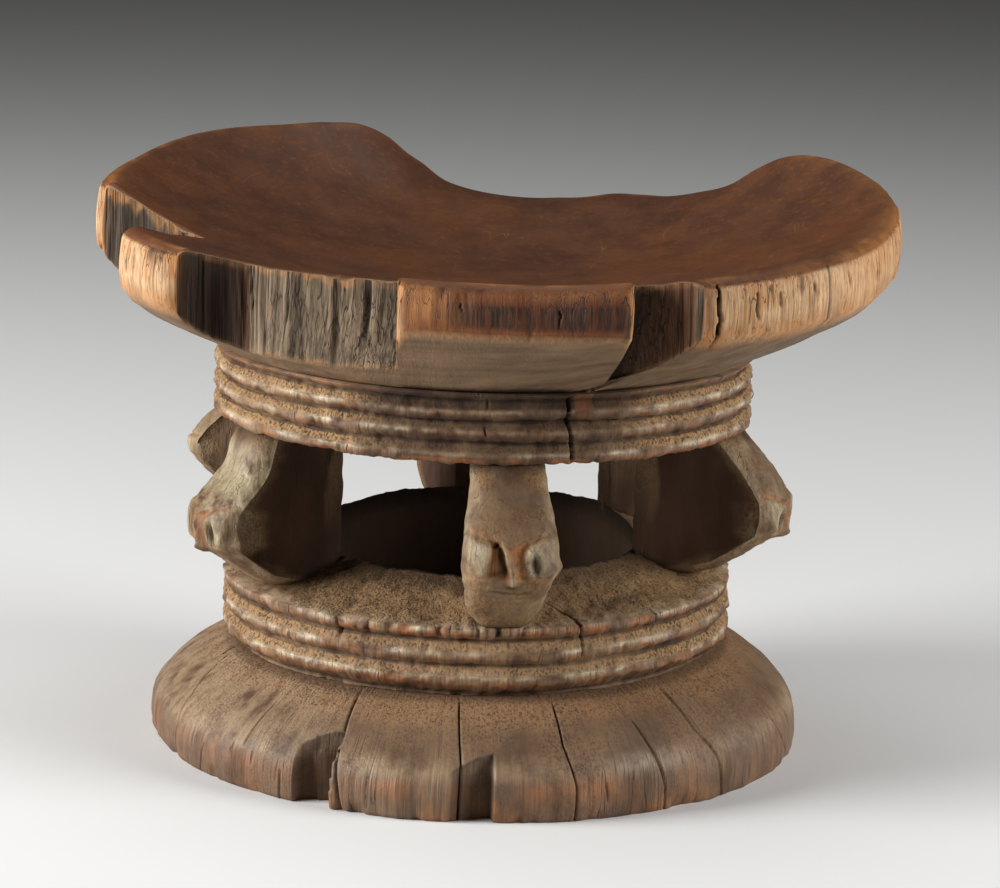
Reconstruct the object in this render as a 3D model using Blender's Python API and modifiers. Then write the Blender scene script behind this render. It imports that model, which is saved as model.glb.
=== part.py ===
# Carved wooden stool: a dished seat on a ridged drum, six face struts, a ridged ring and a flared foot.
# Metres, +Z up. X runs along the seat's long axis, the origin is on the floor under the seat's middle.
import math

import bmesh
import bpy
from mathutils import Vector

# Clearance between pieces that sit on each other
JOINT_GAP = 0.0003

# Overall height, which the levels below take their shares of
STOOL_HEIGHT = 0.2154

# Well that runs up through the foot, the ring and the drum
WELL_RADIUS = 0.060

# Flared foot
FOOT_HEIGHT = 0.172 * STOOL_HEIGHT
FOOT_RADIUS = 0.121
FOOT_LIP_HEIGHT = 0.008
FOOT_LIP_SETBACK = 0.0025
WAIST_RADIUS = 0.091
FLARE_FULLNESS = 1.3
CHIP_WIDTH = 0.0145
LEFT_CHIP_AZIMUTH = -13.5
LEFT_CHIP_DEPTH = 0.011
FRONT_CHIP_AZIMUTH = 14.5
FRONT_CHIP_DEPTH = 0.006

# Lower ring, a little inside the drum above it, with a sill that rises towards the well
RING_INSET = 0.005
RING_HEIGHT = 0.121 * STOOL_HEIGHT
RING_RIDGES = 3
RING_GROOVE_DEPTH = 0.003
SILL_RISE = 0.011

# Open band between the ring and the drum, held by the struts
WINDOW_HEIGHT = 0.279 * STOOL_HEIGHT
STRUT_AZIMUTHS = {
    "strut_front": 20.0,
    "strut_right": 90.0,
    "strut_back_right": 141.0,
    "strut_back": 200.0,
    "strut_left": 265.0,
    "strut_front_left": 314.0,
}
STRUT_INNER_WIDTH = 0.016
STRUT_FOOT_WIDTH = 0.018
STRUT_FOOT_SETBACK = 0.012
CROWN_WIDTH = 0.024
CROWN_SETBACK = 0.003
FACE_WIDTH = 0.034
CHIN_WIDTH = 0.021
CHIN_RISE = 0.012
BROW_DROP = 0.022
FOREHEAD_DROP = 0.015
FACE_OVERHANG = 0.0165
NOSE_RELIEF = 0.0035
EYE_DEPTH = 0.006
MOUTH_DEPTH = 0.0022
CHEEK_ROUNDING = 0.008

# Where the face's features lie across its half width, and how far back they stand
CHEEK_BONE_AT = 0.8
CHEEK_BONE_SHARE = 0.3
EYE_AT = 0.48
NOSE_FLANK_AT = 0.2
NOSE_FLANK_SHARE = 0.4

# Levels of the face from chin to brow: height, width, eye hollow, nose and mouth, each from 0 to 1
FACE_LEVELS = (
    (0.12, 0.25, 0.0, 0.0, 0.0),
    (0.24, 0.60, 0.0, 0.0, 1.0),
    (0.34, 0.85, 0.0, 0.7, 0.0),
    (0.46, 1.00, 0.7, 1.0, 0.0),
    (0.70, 1.00, 1.0, 0.8, 0.0),
    (0.90, 0.95, 0.6, 0.4, 0.0),
    (1.00, 0.90, 0.0, 0.0, 0.0),
)

# Upper drum
DRUM_RADIUS = 0.100
DRUM_HEIGHT = 0.116 * STOOL_HEIGHT
DRUM_RIDGES = 3
DRUM_GROOVE_DEPTH = 0.0025

# Seat: heights are measured up from the plane where it leaves the drum, the rim's as shares of its rise,
# and its middle lies a little to the right of the drum's axis
SEAT_SHIFT = 0.004
SEAT_LENGTH = 0.294
SEAT_DEPTH = 0.226
SEAT_SQUARENESS = 2.6
SEAT_RIM_THICKNESS = 0.019
SEAT_EDGE_ROUNDING = 0.004
DISH_CURVE = 2.2
UNDERSIDE_BELLY = 0.003
SEAT_RISE = 0.311 * STOOL_HEIGHT
DISH_HEIGHT = 0.39 * SEAT_RISE
RIM_SHARES = {
    0.0: 0.81,
    50.0: 0.985,
    72.0: 0.695,
    92.0: 0.60,
    102.0: 0.65,
    121.0: 1.0,
    158.0: 0.94,
    188.0: 0.835,
    225.0: 0.69,
    272.0: 0.60,
    316.0: 0.70,
}

# Wood lost from the rim, as stations in degrees round it and a depth from its edge
FRONT_LOSS = (235.0, 269.0)
FRONT_LOSS_DEPTH = 0.017
NOTCH_LOSS = (295.0, 304.0)
NOTCH_LOSS_DEPTH = 0.011
END_SPLIT = (194.0, 223.5)
END_SPLIT_LENGTH = 0.047
END_SPLIT_DRIFT = 0.013
LOBE_DEPTH = 0.014

# Facets
TURN_STEPS = 64
RIM_STEPS = 72
RIDGE_STEPS = 4
RIDGE_ROUNDNESS = 0.7
FLARE_STEPS = 8
DISH_RINGS = 7
LOSS_STEPS = 6

WAIST_LEVEL = FOOT_HEIGHT
RING_RADIUS = DRUM_RADIUS - RING_INSET
RING_BASE = WAIST_LEVEL + JOINT_GAP
RING_EDGE = WAIST_LEVEL + RING_HEIGHT
DRUM_BASE = RING_EDGE + WINDOW_HEIGHT
DRUM_TOP = DRUM_BASE + DRUM_HEIGHT
SEAT_BASE = DRUM_TOP + JOINT_GAP
SILL_OUTER_RADIUS = RING_RADIUS - RING_GROOVE_DEPTH / 2
SEAT_MIDDLE = Vector((SEAT_SHIFT, 0.0))


def clear_scene():
    for item in list(bpy.data.objects):
        bpy.data.objects.remove(item, do_unlink=True)


def new_collection(name):
    group = bpy.data.collections.new(name)
    bpy.context.scene.collection.children.link(group)
    return group


def wood(name, colour, roughness):
    material = bpy.data.materials.new(name)
    material.use_nodes = True
    shader = material.node_tree.nodes["Principled BSDF"]
    shader.inputs["Base Color"].default_value = (*colour, 1.0)
    shader.inputs["Roughness"].default_value = roughness
    shader.inputs["Metallic"].default_value = 0.0
    return material


def add_object(name, mesh, group, material, root):
    item = bpy.data.objects.new(name, mesh)
    group.objects.link(item)
    item.parent = root
    if material:
        mesh.materials.append(material)
    return item


def mesh_from(name, build):
    work = bmesh.new()
    build(work)
    bmesh.ops.recalc_face_normals(work, faces=work.faces)
    mesh = bpy.data.meshes.new(name)
    work.to_mesh(mesh)
    work.free()
    return mesh


def turned(name, profile, group, material, root):
    mesh = bpy.data.meshes.new(name)
    count = len(profile)
    rim = [(i, (i + 1) % count) for i in range(count)]
    mesh.from_pydata([(radius, 0.0, height) for radius, height in profile], rim, [])
    item = add_object(name, mesh, group, material, root)
    screw = item.modifiers.new("Turn", "SCREW")
    screw.axis = "Z"
    screw.angle = math.tau
    screw.steps = TURN_STEPS
    screw.render_steps = TURN_STEPS
    screw.use_merge_vertices = True
    screw.merge_threshold = 0.00001
    return item


def ridges(radius, depth, top, bottom, count):
    # Rounded ridges with a groove above, below and between them, listed downwards
    steps = count * RIDGE_STEPS
    points = []
    for i in range(steps + 1):
        share = i / steps
        swell = abs(math.sin(math.pi * count * share)) ** RIDGE_ROUNDNESS
        points.append((radius - depth * (1 - swell), top + (bottom - top) * share))
    return points


def bridge(work, lower, upper):
    count = len(lower)
    for i in range(count):
        j = (i + 1) % count
        work.faces.new((lower[i], lower[j], upper[j], upper[i]))


def prism(name, outline, low, high, group, root):
    # Cutter with a vertical wall along an outline in plan
    def build(work):
        face = work.faces.new([work.verts.new((x, y, low)) for x, y in outline])
        top = bmesh.ops.extrude_face_region(work, geom=[face])
        risen = [part for part in top["geom"] if isinstance(part, bmesh.types.BMVert)]
        bmesh.ops.translate(work, verts=risen, vec=(0.0, 0.0, high - low))

    item = bpy.data.objects.new(name, mesh_from(name, build))
    group.objects.link(item)
    item.parent = root
    item.hide_render = True
    item.display_type = "WIRE"
    return item


def cut(item, cutter):
    step = item.modifiers.new(cutter.name, "BOOLEAN")
    step.operation = "DIFFERENCE"
    step.solver = "EXACT"
    step.object = cutter


def make_foot(group, cutters, material, root):
    flare = []
    for i in range(FLARE_STEPS + 1):
        angle = math.radians(90.0 * (1 - i / FLARE_STEPS))
        reach = (FOOT_RADIUS - WAIST_RADIUS) * max(math.cos(angle), 0.0) ** FLARE_FULLNESS
        rise = (FOOT_HEIGHT - FOOT_LIP_HEIGHT) * math.sin(angle) ** FLARE_FULLNESS
        flare.append((WAIST_RADIUS + reach, FOOT_LIP_HEIGHT + rise))
    profile = [(WELL_RADIUS, WAIST_LEVEL), *flare]
    profile.append((FOOT_RADIUS - FOOT_LIP_SETBACK, 0.0))
    profile.append((WELL_RADIUS, 0.0))
    foot = turned("base", profile, group, material, root)
    cut(foot, make_chip("left_chip", LEFT_CHIP_AZIMUTH, LEFT_CHIP_DEPTH, cutters, root))
    cut(foot, make_chip("front_chip", FRONT_CHIP_AZIMUTH, FRONT_CHIP_DEPTH, cutters, root))


def make_chip(name, azimuth, depth, cutters, root):
    # A flake off the lip: it deepens to the right and ends in a short wall
    half = CHIP_WIDTH / 2
    centre = math.radians(azimuth)
    outward = Vector((math.sin(centre), -math.cos(centre)))
    along = Vector((math.cos(centre), math.sin(centre)))
    lip = outward * FOOT_RADIUS
    corners = (
        lip - along * half + outward * depth,
        lip - along * half - outward * depth / 2,
        lip + along * half - outward * depth,
        lip + along * half + outward * depth,
    )
    outline = [corner.to_tuple() for corner in corners]
    return prism(name, outline, -FOOT_LIP_HEIGHT, WAIST_LEVEL, cutters, root)


def make_ring(group, material, root):
    outer = ridges(RING_RADIUS, RING_GROOVE_DEPTH, RING_EDGE, RING_BASE, RING_RIDGES)
    outer[0] = (SILL_OUTER_RADIUS, RING_EDGE)
    profile = [(WELL_RADIUS, RING_EDGE + SILL_RISE), *outer, (WELL_RADIUS, RING_BASE)]
    turned("lower_drum", profile, group, material, root)


def make_drum(group, material, root):
    outer = ridges(DRUM_RADIUS, DRUM_GROOVE_DEPTH, DRUM_TOP, DRUM_BASE, DRUM_RIDGES)
    profile = [(WELL_RADIUS, DRUM_TOP), *outer, (WELL_RADIUS, DRUM_BASE)]
    turned("upper_drum", profile, group, material, root)


def sill_level(radius):
    slope = SILL_RISE / (SILL_OUTER_RADIUS - WELL_RADIUS)
    return RING_EDGE + slope * (SILL_OUTER_RADIUS - radius)


def strut_section(front, half_width, level, eye=0.0, nose=0.0, mouth=0.0):
    # One level of the strut, from the well round the face and back, as seen from above
    inner = STRUT_INNER_WIDTH / 2
    cheek = front - CHEEK_ROUNDING
    neck = (WELL_RADIUS + cheek) / 2
    right = [(WELL_RADIUS, inner), (neck, (inner + half_width) / 2), (cheek, half_width)]
    right.append((front - CHEEK_ROUNDING * CHEEK_BONE_SHARE, half_width * CHEEK_BONE_AT))
    right.append((front - eye - mouth, half_width * EYE_AT))
    right.append((front - eye * NOSE_FLANK_SHARE - mouth, half_width * NOSE_FLANK_AT))
    left = [(radius, -width) for radius, width in reversed(right)]
    outline = [*right, (front + nose - mouth, 0.0), *left]
    return [(width, -radius, level(math.hypot(radius, width))) for radius, width in outline]


def make_strut_mesh():
    front = DRUM_RADIUS + FACE_OVERHANG
    top = DRUM_BASE - JOINT_GAP
    brow = DRUM_BASE - BROW_DROP
    chin = RING_EDGE + CHIN_RISE
    face_half = FACE_WIDTH / 2
    chin_half = CHIN_WIDTH / 2
    crown_half = CROWN_WIDTH / 2

    def at(height):
        # The lowest level lies on the sill, the highest is flat under the drum
        share = (height - RING_EDGE) / (DRUM_BASE - RING_EDGE)

        def level(radius):
            low = sill_level(min(radius, SILL_OUTER_RADIUS)) + JOINT_GAP
            return low + (top - low) * share

        return level

    sections = [
        strut_section(RING_RADIUS - STRUT_FOOT_SETBACK, STRUT_FOOT_WIDTH / 2, at(RING_EDGE)),
        strut_section(front - NOSE_RELIEF, chin_half, at(chin)),
    ]
    for height, width, eye, nose, mouth in FACE_LEVELS:
        half_width = chin_half + (face_half - chin_half) * width
        level = at(chin + (brow - chin) * height)
        relief = EYE_DEPTH * eye, NOSE_RELIEF * nose, MOUTH_DEPTH * mouth
        sections.append(strut_section(front, half_width, level, *relief))
    forehead_half = (face_half + crown_half) / 2
    sections.append(strut_section(front - NOSE_RELIEF, forehead_half, at(DRUM_BASE - FOREHEAD_DROP)))
    sections.append(strut_section(DRUM_RADIUS - CROWN_SETBACK, crown_half, at(DRUM_BASE)))

    def build(work):
        rings = [[work.verts.new(point) for point in section] for section in sections]
        for lower, upper in zip(rings, rings[1:]):
            bridge(work, lower, upper)
        work.faces.new(rings[0])
        work.faces.new(rings[-1])
        bmesh.ops.triangulate(work, faces=work.faces)

    return mesh_from("strut", build)


def make_struts(group, material, root):
    mesh = make_strut_mesh()
    mesh.materials.append(material)
    for name, azimuth in STRUT_AZIMUTHS.items():
        strut = add_object(name, mesh, group, None, root)
        strut.rotation_euler.z = math.radians(azimuth)


def rim_height(station):
    # Shares of the rise between the listed stations ease from one to the next
    stations = sorted(RIM_SHARES)
    stops = [*stations, stations[0] + 360.0]
    station = station % 360.0
    for start, end in zip(stops, stops[1:]):
        if start <= station <= end:
            share = (station - start) / (end - start)
            ease = (1 - math.cos(math.pi * share)) / 2
            first = RIM_SHARES[start]
            return SEAT_RISE * (first + (RIM_SHARES[end % 360.0] - first) * ease)
    return SEAT_RISE * RIM_SHARES[stations[0]]


def rim_point(station, inset=0.0):
    # Rounded-rectangle outline of the seat, moved inwards by an inset
    angle = math.radians(station)
    power = 2.0 / SEAT_SQUARENESS
    across = math.copysign(abs(math.cos(angle)) ** power, math.cos(angle))
    along = math.copysign(abs(math.sin(angle)) ** power, math.sin(angle))
    point = Vector((SEAT_LENGTH / 2 * across, SEAT_DEPTH / 2 * along))
    return SEAT_MIDDLE + point - point.normalized() * inset


def make_seat(group, cutters, material, root):
    stations = [360.0 * i / RIM_STEPS for i in range(RIM_STEPS)]

    def ring(work, place):
        return [work.verts.new((*point, SEAT_BASE + height)) for point, height in map(place, stations)]

    def dish(share):
        def place(station):
            rise = (rim_height(station) - DISH_HEIGHT) * share**DISH_CURVE
            return SEAT_MIDDLE.lerp(rim_point(station, SEAT_EDGE_ROUNDING), share), DISH_HEIGHT + rise

        return place

    def edge(inset, drop):
        return lambda station: (rim_point(station, inset), rim_height(station) - drop)

    def landing(share):
        def place(station):
            outer = rim_point(station)
            inner = outer.normalized() * (DRUM_RADIUS - DRUM_GROOVE_DEPTH)
            fall = rim_height(station) - SEAT_RIM_THICKNESS
            belly = UNDERSIDE_BELLY * math.sin(math.pi * share)
            return outer.lerp(inner, share), fall * (1 - share) - belly * (1 - share)

        return place

    def build(work):
        rings = [ring(work, landing(1.0)), ring(work, landing(0.5)), ring(work, landing(0.0))]
        rings.append(ring(work, edge(0.0, SEAT_EDGE_ROUNDING)))
        rings += [ring(work, dish(1 - i / DISH_RINGS)) for i in range(DISH_RINGS)]
        for lower, upper in zip(rings, rings[1:]):
            bridge(work, lower, upper)
        work.faces.new(rings[0])
        centre = work.verts.new((*SEAT_MIDDLE, SEAT_BASE + DISH_HEIGHT))
        last = rings[-1]
        for i, vertex in enumerate(last):
            work.faces.new((vertex, last[(i + 1) % RIM_STEPS], centre))
        bmesh.ops.triangulate(work, faces=work.faces)

    seat = add_object("seat", mesh_from("seat", build), group, material, root)
    for cutter in seat_cutters(cutters, root):
        cut(seat, cutter)


def seat_cutters(cutters, root):
    low = SEAT_BASE - DRUM_HEIGHT
    high = SEAT_BASE + 2 * SEAT_RISE

    def strip(name, loss, depth):
        span = [loss[0] + (loss[1] - loss[0]) * i / LOSS_STEPS for i in range(LOSS_STEPS + 1)]
        outer = [rim_point(station, -depth) for station in span]
        inner = [rim_point(station, depth) for station in reversed(span)]
        return prism(name, [point.to_tuple() for point in outer + inner], low, high, cutters, root)

    back, front = (rim_point(station) for station in END_SPLIT)
    lobe = rim_point(END_SPLIT[1], LOBE_DEPTH)
    apex = back + Vector((END_SPLIT_LENGTH, -END_SPLIT_DRIFT))
    clear_of_back = back - Vector((END_SPLIT_LENGTH, 0.0))
    clear_of_front = front + (front - lobe)
    corner = Vector((clear_of_back.x, clear_of_front.y))
    split = [clear_of_back, corner, clear_of_front, lobe, apex, back]
    return (
        strip("front_loss", FRONT_LOSS, FRONT_LOSS_DEPTH),
        strip("notch_loss", NOTCH_LOSS, NOTCH_LOSS_DEPTH),
        prism("end_split", [point.to_tuple() for point in split], low, high, cutters, root),
    )


def shade(group):
    for item in group.objects:
        if item.type == "MESH":
            item.data.shade_smooth()
            item.data.set_sharp_from_angle(angle=math.radians(35.0))


def main():
    clear_scene()
    group = new_collection("carved_stool")
    cutters = new_collection("cutters")
    root = bpy.data.objects.new("stool", None)
    root.location.x = -SEAT_SHIFT
    group.objects.link(root)
    seat_wood = wood("seat_wood", (0.105, 0.052, 0.032), 0.38)
    carved_wood = wood("carved_wood", (0.205, 0.130, 0.078), 0.62)
    face_wood = wood("face_wood", (0.255, 0.165, 0.098), 0.55)
    make_foot(group, cutters, carved_wood, root)
    make_ring(group, carved_wood, root)
    make_struts(group, face_wood, root)
    make_drum(group, carved_wood, root)
    make_seat(group, cutters, seat_wood, root)
    shade(group)


main()
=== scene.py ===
import math

import bpy
import numpy as np
from mathutils import Matrix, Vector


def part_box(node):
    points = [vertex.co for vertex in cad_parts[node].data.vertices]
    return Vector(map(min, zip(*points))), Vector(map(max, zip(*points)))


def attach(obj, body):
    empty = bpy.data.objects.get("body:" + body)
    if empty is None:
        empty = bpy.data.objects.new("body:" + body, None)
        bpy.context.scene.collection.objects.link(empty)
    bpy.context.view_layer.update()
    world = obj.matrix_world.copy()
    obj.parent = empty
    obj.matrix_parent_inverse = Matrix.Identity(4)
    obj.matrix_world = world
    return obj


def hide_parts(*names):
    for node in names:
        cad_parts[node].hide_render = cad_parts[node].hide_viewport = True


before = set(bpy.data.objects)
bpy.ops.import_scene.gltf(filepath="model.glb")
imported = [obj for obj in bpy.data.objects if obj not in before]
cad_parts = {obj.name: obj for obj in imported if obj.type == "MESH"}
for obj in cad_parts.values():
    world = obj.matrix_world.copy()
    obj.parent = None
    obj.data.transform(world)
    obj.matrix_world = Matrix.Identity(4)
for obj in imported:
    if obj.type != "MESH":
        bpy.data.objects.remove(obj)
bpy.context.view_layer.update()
bpy.context.scene.view_settings.view_transform = "Standard"
print("stage: frame loaded with", len(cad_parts), "nodes")

# where the pieces stand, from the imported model
footLow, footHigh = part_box("base")
ringLow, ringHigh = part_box("lower_drum")
drumLow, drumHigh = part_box("upper_drum")
seatLow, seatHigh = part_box("seat")
drumX = (footLow.x + footHigh.x) / 2  # the turned pieces share this upright axis
wellRadius = 0.060


# camera at the photograph's angle, turned from the stool's own front
view = {
    "turn": 14.0,
    "distance": 1.3209,
    "height": 0.3913,
    "yaw": 0.31,
    "pitch": 12.035,
    "roll": 1.895,
    "lens": 129.6,
}


def addCamera():
    turn = math.radians(view["turn"])
    place = (drumX + view["distance"] * math.sin(turn), -view["distance"] * math.cos(turn), view["height"])
    aim = Matrix.Rotation(turn - math.radians(view["yaw"]), 3, "Z")
    aim = aim @ Matrix.Rotation(math.radians(90 - view["pitch"]), 3, "X")
    aim = aim @ Matrix.Rotation(math.radians(view["roll"]), 3, "Z")
    bpy.ops.object.camera_add(location=place, rotation=aim.to_euler())
    camera = bpy.context.object
    camera.data.lens = view["lens"]
    camera.data.sensor_width = 36.0
    bpy.context.scene.camera = camera


addCamera()


# soft boxes: bearing from the camera's side in degrees, height in degrees, distance, width, watts
studio = {
    "lamps": {
        "softBoxLeft": (-75.0, 16.0, 1.6, 0.8, 41.0),
        "softBoxRight": (74.0, 19.0, 1.6, 0.8, 23.0),
        "softBoxTop": (180.0, 78.0, 1.8, 1.0, 6.0),
    },
    "worldColour": (0.82, 0.80, 0.77),
    "worldStrength": 0.04,
    "aimHeight": 0.11,
    "floorSize": 14.0,
    "floorColour": (0.86, 0.86, 0.85, 1.0),
}


def addStudio():
    for name, (bearing, rise, distance, width, watts) in studio["lamps"].items():
        turn = math.radians(bearing + view["turn"])
        lift = math.radians(rise)
        reach = distance * math.cos(lift)
        height = studio["aimHeight"] + distance * math.sin(lift)
        place = (reach * math.sin(turn), -reach * math.cos(turn), height)
        bpy.ops.object.light_add(type="AREA", location=place, rotation=(math.pi / 2 - lift, 0, turn))
        lamp = bpy.context.object
        lamp.name = name
        lamp.data.shape = "SQUARE"
        lamp.data.size = width
        lamp.data.energy = watts
    world = bpy.data.worlds.new("studioAir")
    world.use_nodes = True
    sky = world.node_tree.nodes["Background"]
    sky.inputs["Color"].default_value = (*studio["worldColour"], 1.0)
    sky.inputs["Strength"].default_value = studio["worldStrength"]
    bpy.context.scene.world = world
    bpy.ops.object.select_all(action="DESELECT")
    bpy.ops.mesh.primitive_plane_add(size=studio["floorSize"], location=(0, 0, footLow.z))
    floor = bpy.context.object
    floor.name = "floor"
    paper = bpy.data.materials.new("palePaper")
    paper.use_nodes = True
    shader = paper.node_tree.nodes["Principled BSDF"]
    shader.inputs["Base Color"].default_value = studio["floorColour"]
    shader.inputs["Roughness"].default_value = 0.9
    shader.inputs["Specular IOR Level"].default_value = 0.1
    floor.data.materials.append(paper)


addStudio()
print("stage: camera, lamps and floor")


# repeatable noise for carving, from -1 to 1
def cellValue(cells, seed):
    mixed = cells[:, 0] * 73856093 ^ cells[:, 1] * 19349663 ^ cells[:, 2] * 83492791 ^ (seed * 7919 + 17)
    mixed = (mixed ^ mixed >> 13) * 1274126177 & 0x7FFFFFFF
    mixed = (mixed ^ mixed >> 15) * 668265263 & 0x7FFFFFFF
    return (mixed >> 8 & 0xFFFF) / 32767.5 - 1.0


def roughness(spots, size, seed, layers=1):
    total = np.zeros(len(spots))
    strength = 1.0
    for layer in range(layers):
        scaled = spots / (np.asarray(size) / 2**layer)
        cells = np.floor(scaled).astype(np.int64)
        part = scaled - cells
        part = part * part * (3 - 2 * part)
        for corner in range(8):
            step = np.array([corner & 1, corner >> 1 & 1, corner >> 2 & 1])
            weight = np.prod(np.where(step, part, 1 - part), axis=1)
            total += strength * weight * cellValue(cells + step, seed + 31 * layer)
        strength *= 0.5
    return total


def ease(value, low, high):
    share = np.clip((value - low) / (high - low), 0, 1)
    return share * share * (3 - 2 * share)


def fade(value, low, high):
    return 1 - ease(value, low, high)


def bump(value, middle, width):
    return np.exp(-(((value - middle) / width) ** 2))


def facing(bearing, middle, low, high):
    # 1 on the side that faces a bearing, less further round
    return ease(np.cos(np.radians(bearing - middle)), low, high)


def walkAlong(points):
    # distance walked to each of a row of points
    return np.concatenate(([0], np.cumsum(np.hypot(*np.diff(points, axis=0).T))))


def curveThrough(value, stops, around=None):
    # smooth curve through listed stops, closed when it runs around
    places = sorted(stops)
    heights = [stops[place] for place in places]
    if around:
        places = [places[-1] - around, *places, places[0] + around]
        heights = [heights[-1], *heights, heights[0]]
        value = value % around
    places, heights = np.array(places), np.array(heights)
    slopes = np.gradient(heights, places)
    if around:
        slopes[0], slopes[-1] = slopes[-2], slopes[1]
    first = np.clip(np.searchsorted(places, value, side="right") - 1, 0, len(places) - 2)
    width = places[first + 1] - places[first]
    share = np.clip((value - places[first]) / width, 0, 1)
    square, cube = share**2, share**3
    return (
        heights[first] * (2 * cube - 3 * square + 1)
        + slopes[first] * width * (cube - 2 * square + share)
        + heights[first + 1] * (3 * square - 2 * cube)
        + slopes[first + 1] * width * (cube - square)
    )


# mesh handling shared by the carved pieces
def getSpots(piece):
    spots = np.empty(len(piece.data.vertices) * 3, np.float32)
    piece.data.vertices.foreach_get("co", spots)
    return spots.reshape(-1, 3).astype(float)


def setSpots(piece, spots):
    piece.data.vertices.foreach_set("co", np.ascontiguousarray(spots, np.float32).ravel())
    piece.data.update()


def carve(piece, depth):
    normals = np.empty(len(piece.data.vertices) * 3, np.float32)
    piece.data.vertex_normals.foreach_get("vector", normals)
    setSpots(piece, getSpots(piece) - normals.reshape(-1, 3) * depth[:, None])


def paint(piece, name, *channels):
    values = np.ones((len(piece.data.vertices), 4), np.float32)
    for index, channel in enumerate(channels):
        values[:, index] = np.clip(channel, 0, 1)
    layer = piece.data.color_attributes.new(name=name, type="FLOAT_COLOR", domain="POINT")
    layer.data.foreach_set("color", values.ravel())


def layGrain(piece, spots):
    # the place that the finish reads its grain from
    layer = piece.data.attributes.new(name="grain", type="FLOAT_VECTOR", domain="POINT")
    layer.data.foreach_set("vector", np.ascontiguousarray(spots, np.float32).ravel())


def finishPiece(piece, material, slot, *nodes):
    bpy.ops.object.select_all(action="DESELECT")
    piece.select_set(True)
    bpy.context.view_layer.objects.active = piece
    bpy.ops.object.shade_smooth()
    piece.data.materials.append(material)
    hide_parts(*nodes)
    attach(piece, "root")
    print("stage:", piece.name, "carved,", len(piece.data.polygons), "faces")


def wrapPiece(name, columns, rows):
    # a grid, which is wrapped round with its first and last rows drawn to a point
    bpy.ops.object.select_all(action="DESELECT")
    bpy.ops.mesh.primitive_grid_add(x_subdivisions=columns, y_subdivisions=rows, size=2, calc_uvs=False)
    piece = bpy.context.object
    piece.name = name
    sheet = getSpots(piece)
    row = np.rint((1 - sheet[:, 1]) / 2 * rows).astype(np.int32)
    column = np.rint((sheet[:, 0] + 1) / 2 * columns).astype(np.int32)
    return piece, row, column


def closeMesh(piece, row, column):
    # merge the seam and the poles, turn the faces outwards, and read each point's row and column again
    places = {"row": row, "column": column}
    for name, values in places.items():
        piece.data.attributes.new(name, "INT", "POINT").data.foreach_set("value", values)
    bpy.ops.object.mode_set(mode="EDIT")
    bpy.ops.mesh.select_all(action="SELECT")
    bpy.ops.mesh.remove_doubles(threshold=0.000001)
    bpy.ops.mesh.normals_make_consistent(inside=False)
    bpy.ops.object.mode_set(mode="OBJECT")
    for name in places:
        places[name] = np.empty(len(piece.data.vertices), np.int32)
        piece.data.attributes[name].data.foreach_get("value", places[name])
        piece.data.attributes.remove(piece.data.attributes[name])
    return places["row"], places["column"]


def turnPiece(name, profile, steps):
    # a sheet rolled into a closed ring, whose rows the caller pulls on to the profile
    ringRadius, tubeRadius = 0.09, 0.02
    piece, row, column = wrapPiece(name, steps, len(profile))
    around, tube = column * math.tau / steps, -row * math.tau / len(profile)
    reach = ringRadius + tubeRadius * np.cos(tube)
    height = tubeRadius * np.sin(tube)
    setSpots(piece, np.column_stack((reach * np.sin(around), -reach * np.cos(around), height)))
    row, column = closeMesh(piece, row % len(profile), column % steps)
    return piece, row, column


def wellWall(bottom, top, rows):
    # rows up the inside of the well, without its ends
    return [(wellRadius, bottom + (top - bottom) * (i + 1) / (rows + 1)) for i in range(rows)]


def sideways(bearing, middle):
    return (bearing - middle + 180) % 360 - 180


def placeTurned(bearing, radius, height):
    turn = np.radians(bearing)
    return np.column_stack((drumX + radius * np.sin(turn), -radius * np.cos(turn), height))


def roundAxis(spots):
    # bearing in degrees and distance, both from the drum's axis
    over, ahead = spots[:, 0] - drumX, -spots[:, 1]
    return np.degrees(np.arctan2(over, ahead)), np.hypot(over, ahead)


def openCracks(column, steps, radius, height, cracks):
    # columns lean over to follow each crack, and the two beside it close up to its width
    step = 360.0 / steps
    shift = np.zeros(len(column))
    depth = np.zeros(len(column))
    for heights, bearings, width, deep in cracks:
        course = np.interp(height, heights[::-1], bearings[::-1])
        middle = int(round(np.mean(bearings) / 360 * steps)) % steps
        away = (column - middle + steps // 2) % steps - steps // 2
        apart = np.abs(away)
        shift += sideways(course, middle * step) * fade(apart * step, 1.0, 9.0)
        squeeze = np.degrees(width / 2 / radius) - step
        shift += np.sign(away) * np.select([apart == 1, apart == 2], [squeeze, 0.8 * squeeze], 0)
        along = fade(height, heights[0] - 0.004, heights[0] + 0.0005)
        if heights[-1] > footLow.z + 0.002:  # a crack that ends above the ground runs out
            along = along * ease(height, heights[-1] - 0.0005, heights[-1] + 0.004)
        depth = np.maximum(depth, np.where(away == 0, deep * along, 0))
    return column * step + shift, depth


# node helpers for the wood finishes
def tint(red, green, blue):
    shares = [value / 255 for value in (red, green, blue)]
    return (*[s / 12.92 if s <= 0.04045 else ((s + 0.055) / 1.055) ** 2.4 for s in shares], 1.0)


def feed(tree, socket, value):
    if isinstance(value, bpy.types.NodeSocket):
        tree.links.new(value, socket)
    else:
        socket.default_value = value


def blend(tree, amount, first, second):
    node = tree.nodes.new("ShaderNodeMix")
    node.data_type = "RGBA"
    feed(tree, node.inputs[0], amount)
    feed(tree, node.inputs[6], first)
    feed(tree, node.inputs[7], second)
    return node.outputs[2]


def coats(tree, colour, look, *layers):
    # lays the look's colours over each other, each by its mask
    for mask, name in layers:
        colour = blend(tree, mask, colour, look[name])
    return colour


def work(tree, kind, first, second=0.5):
    node = tree.nodes.new("ShaderNodeMath")
    node.operation = kind
    feed(tree, node.inputs[0], first)
    feed(tree, node.inputs[1], second)
    return node.outputs[0]


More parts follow.
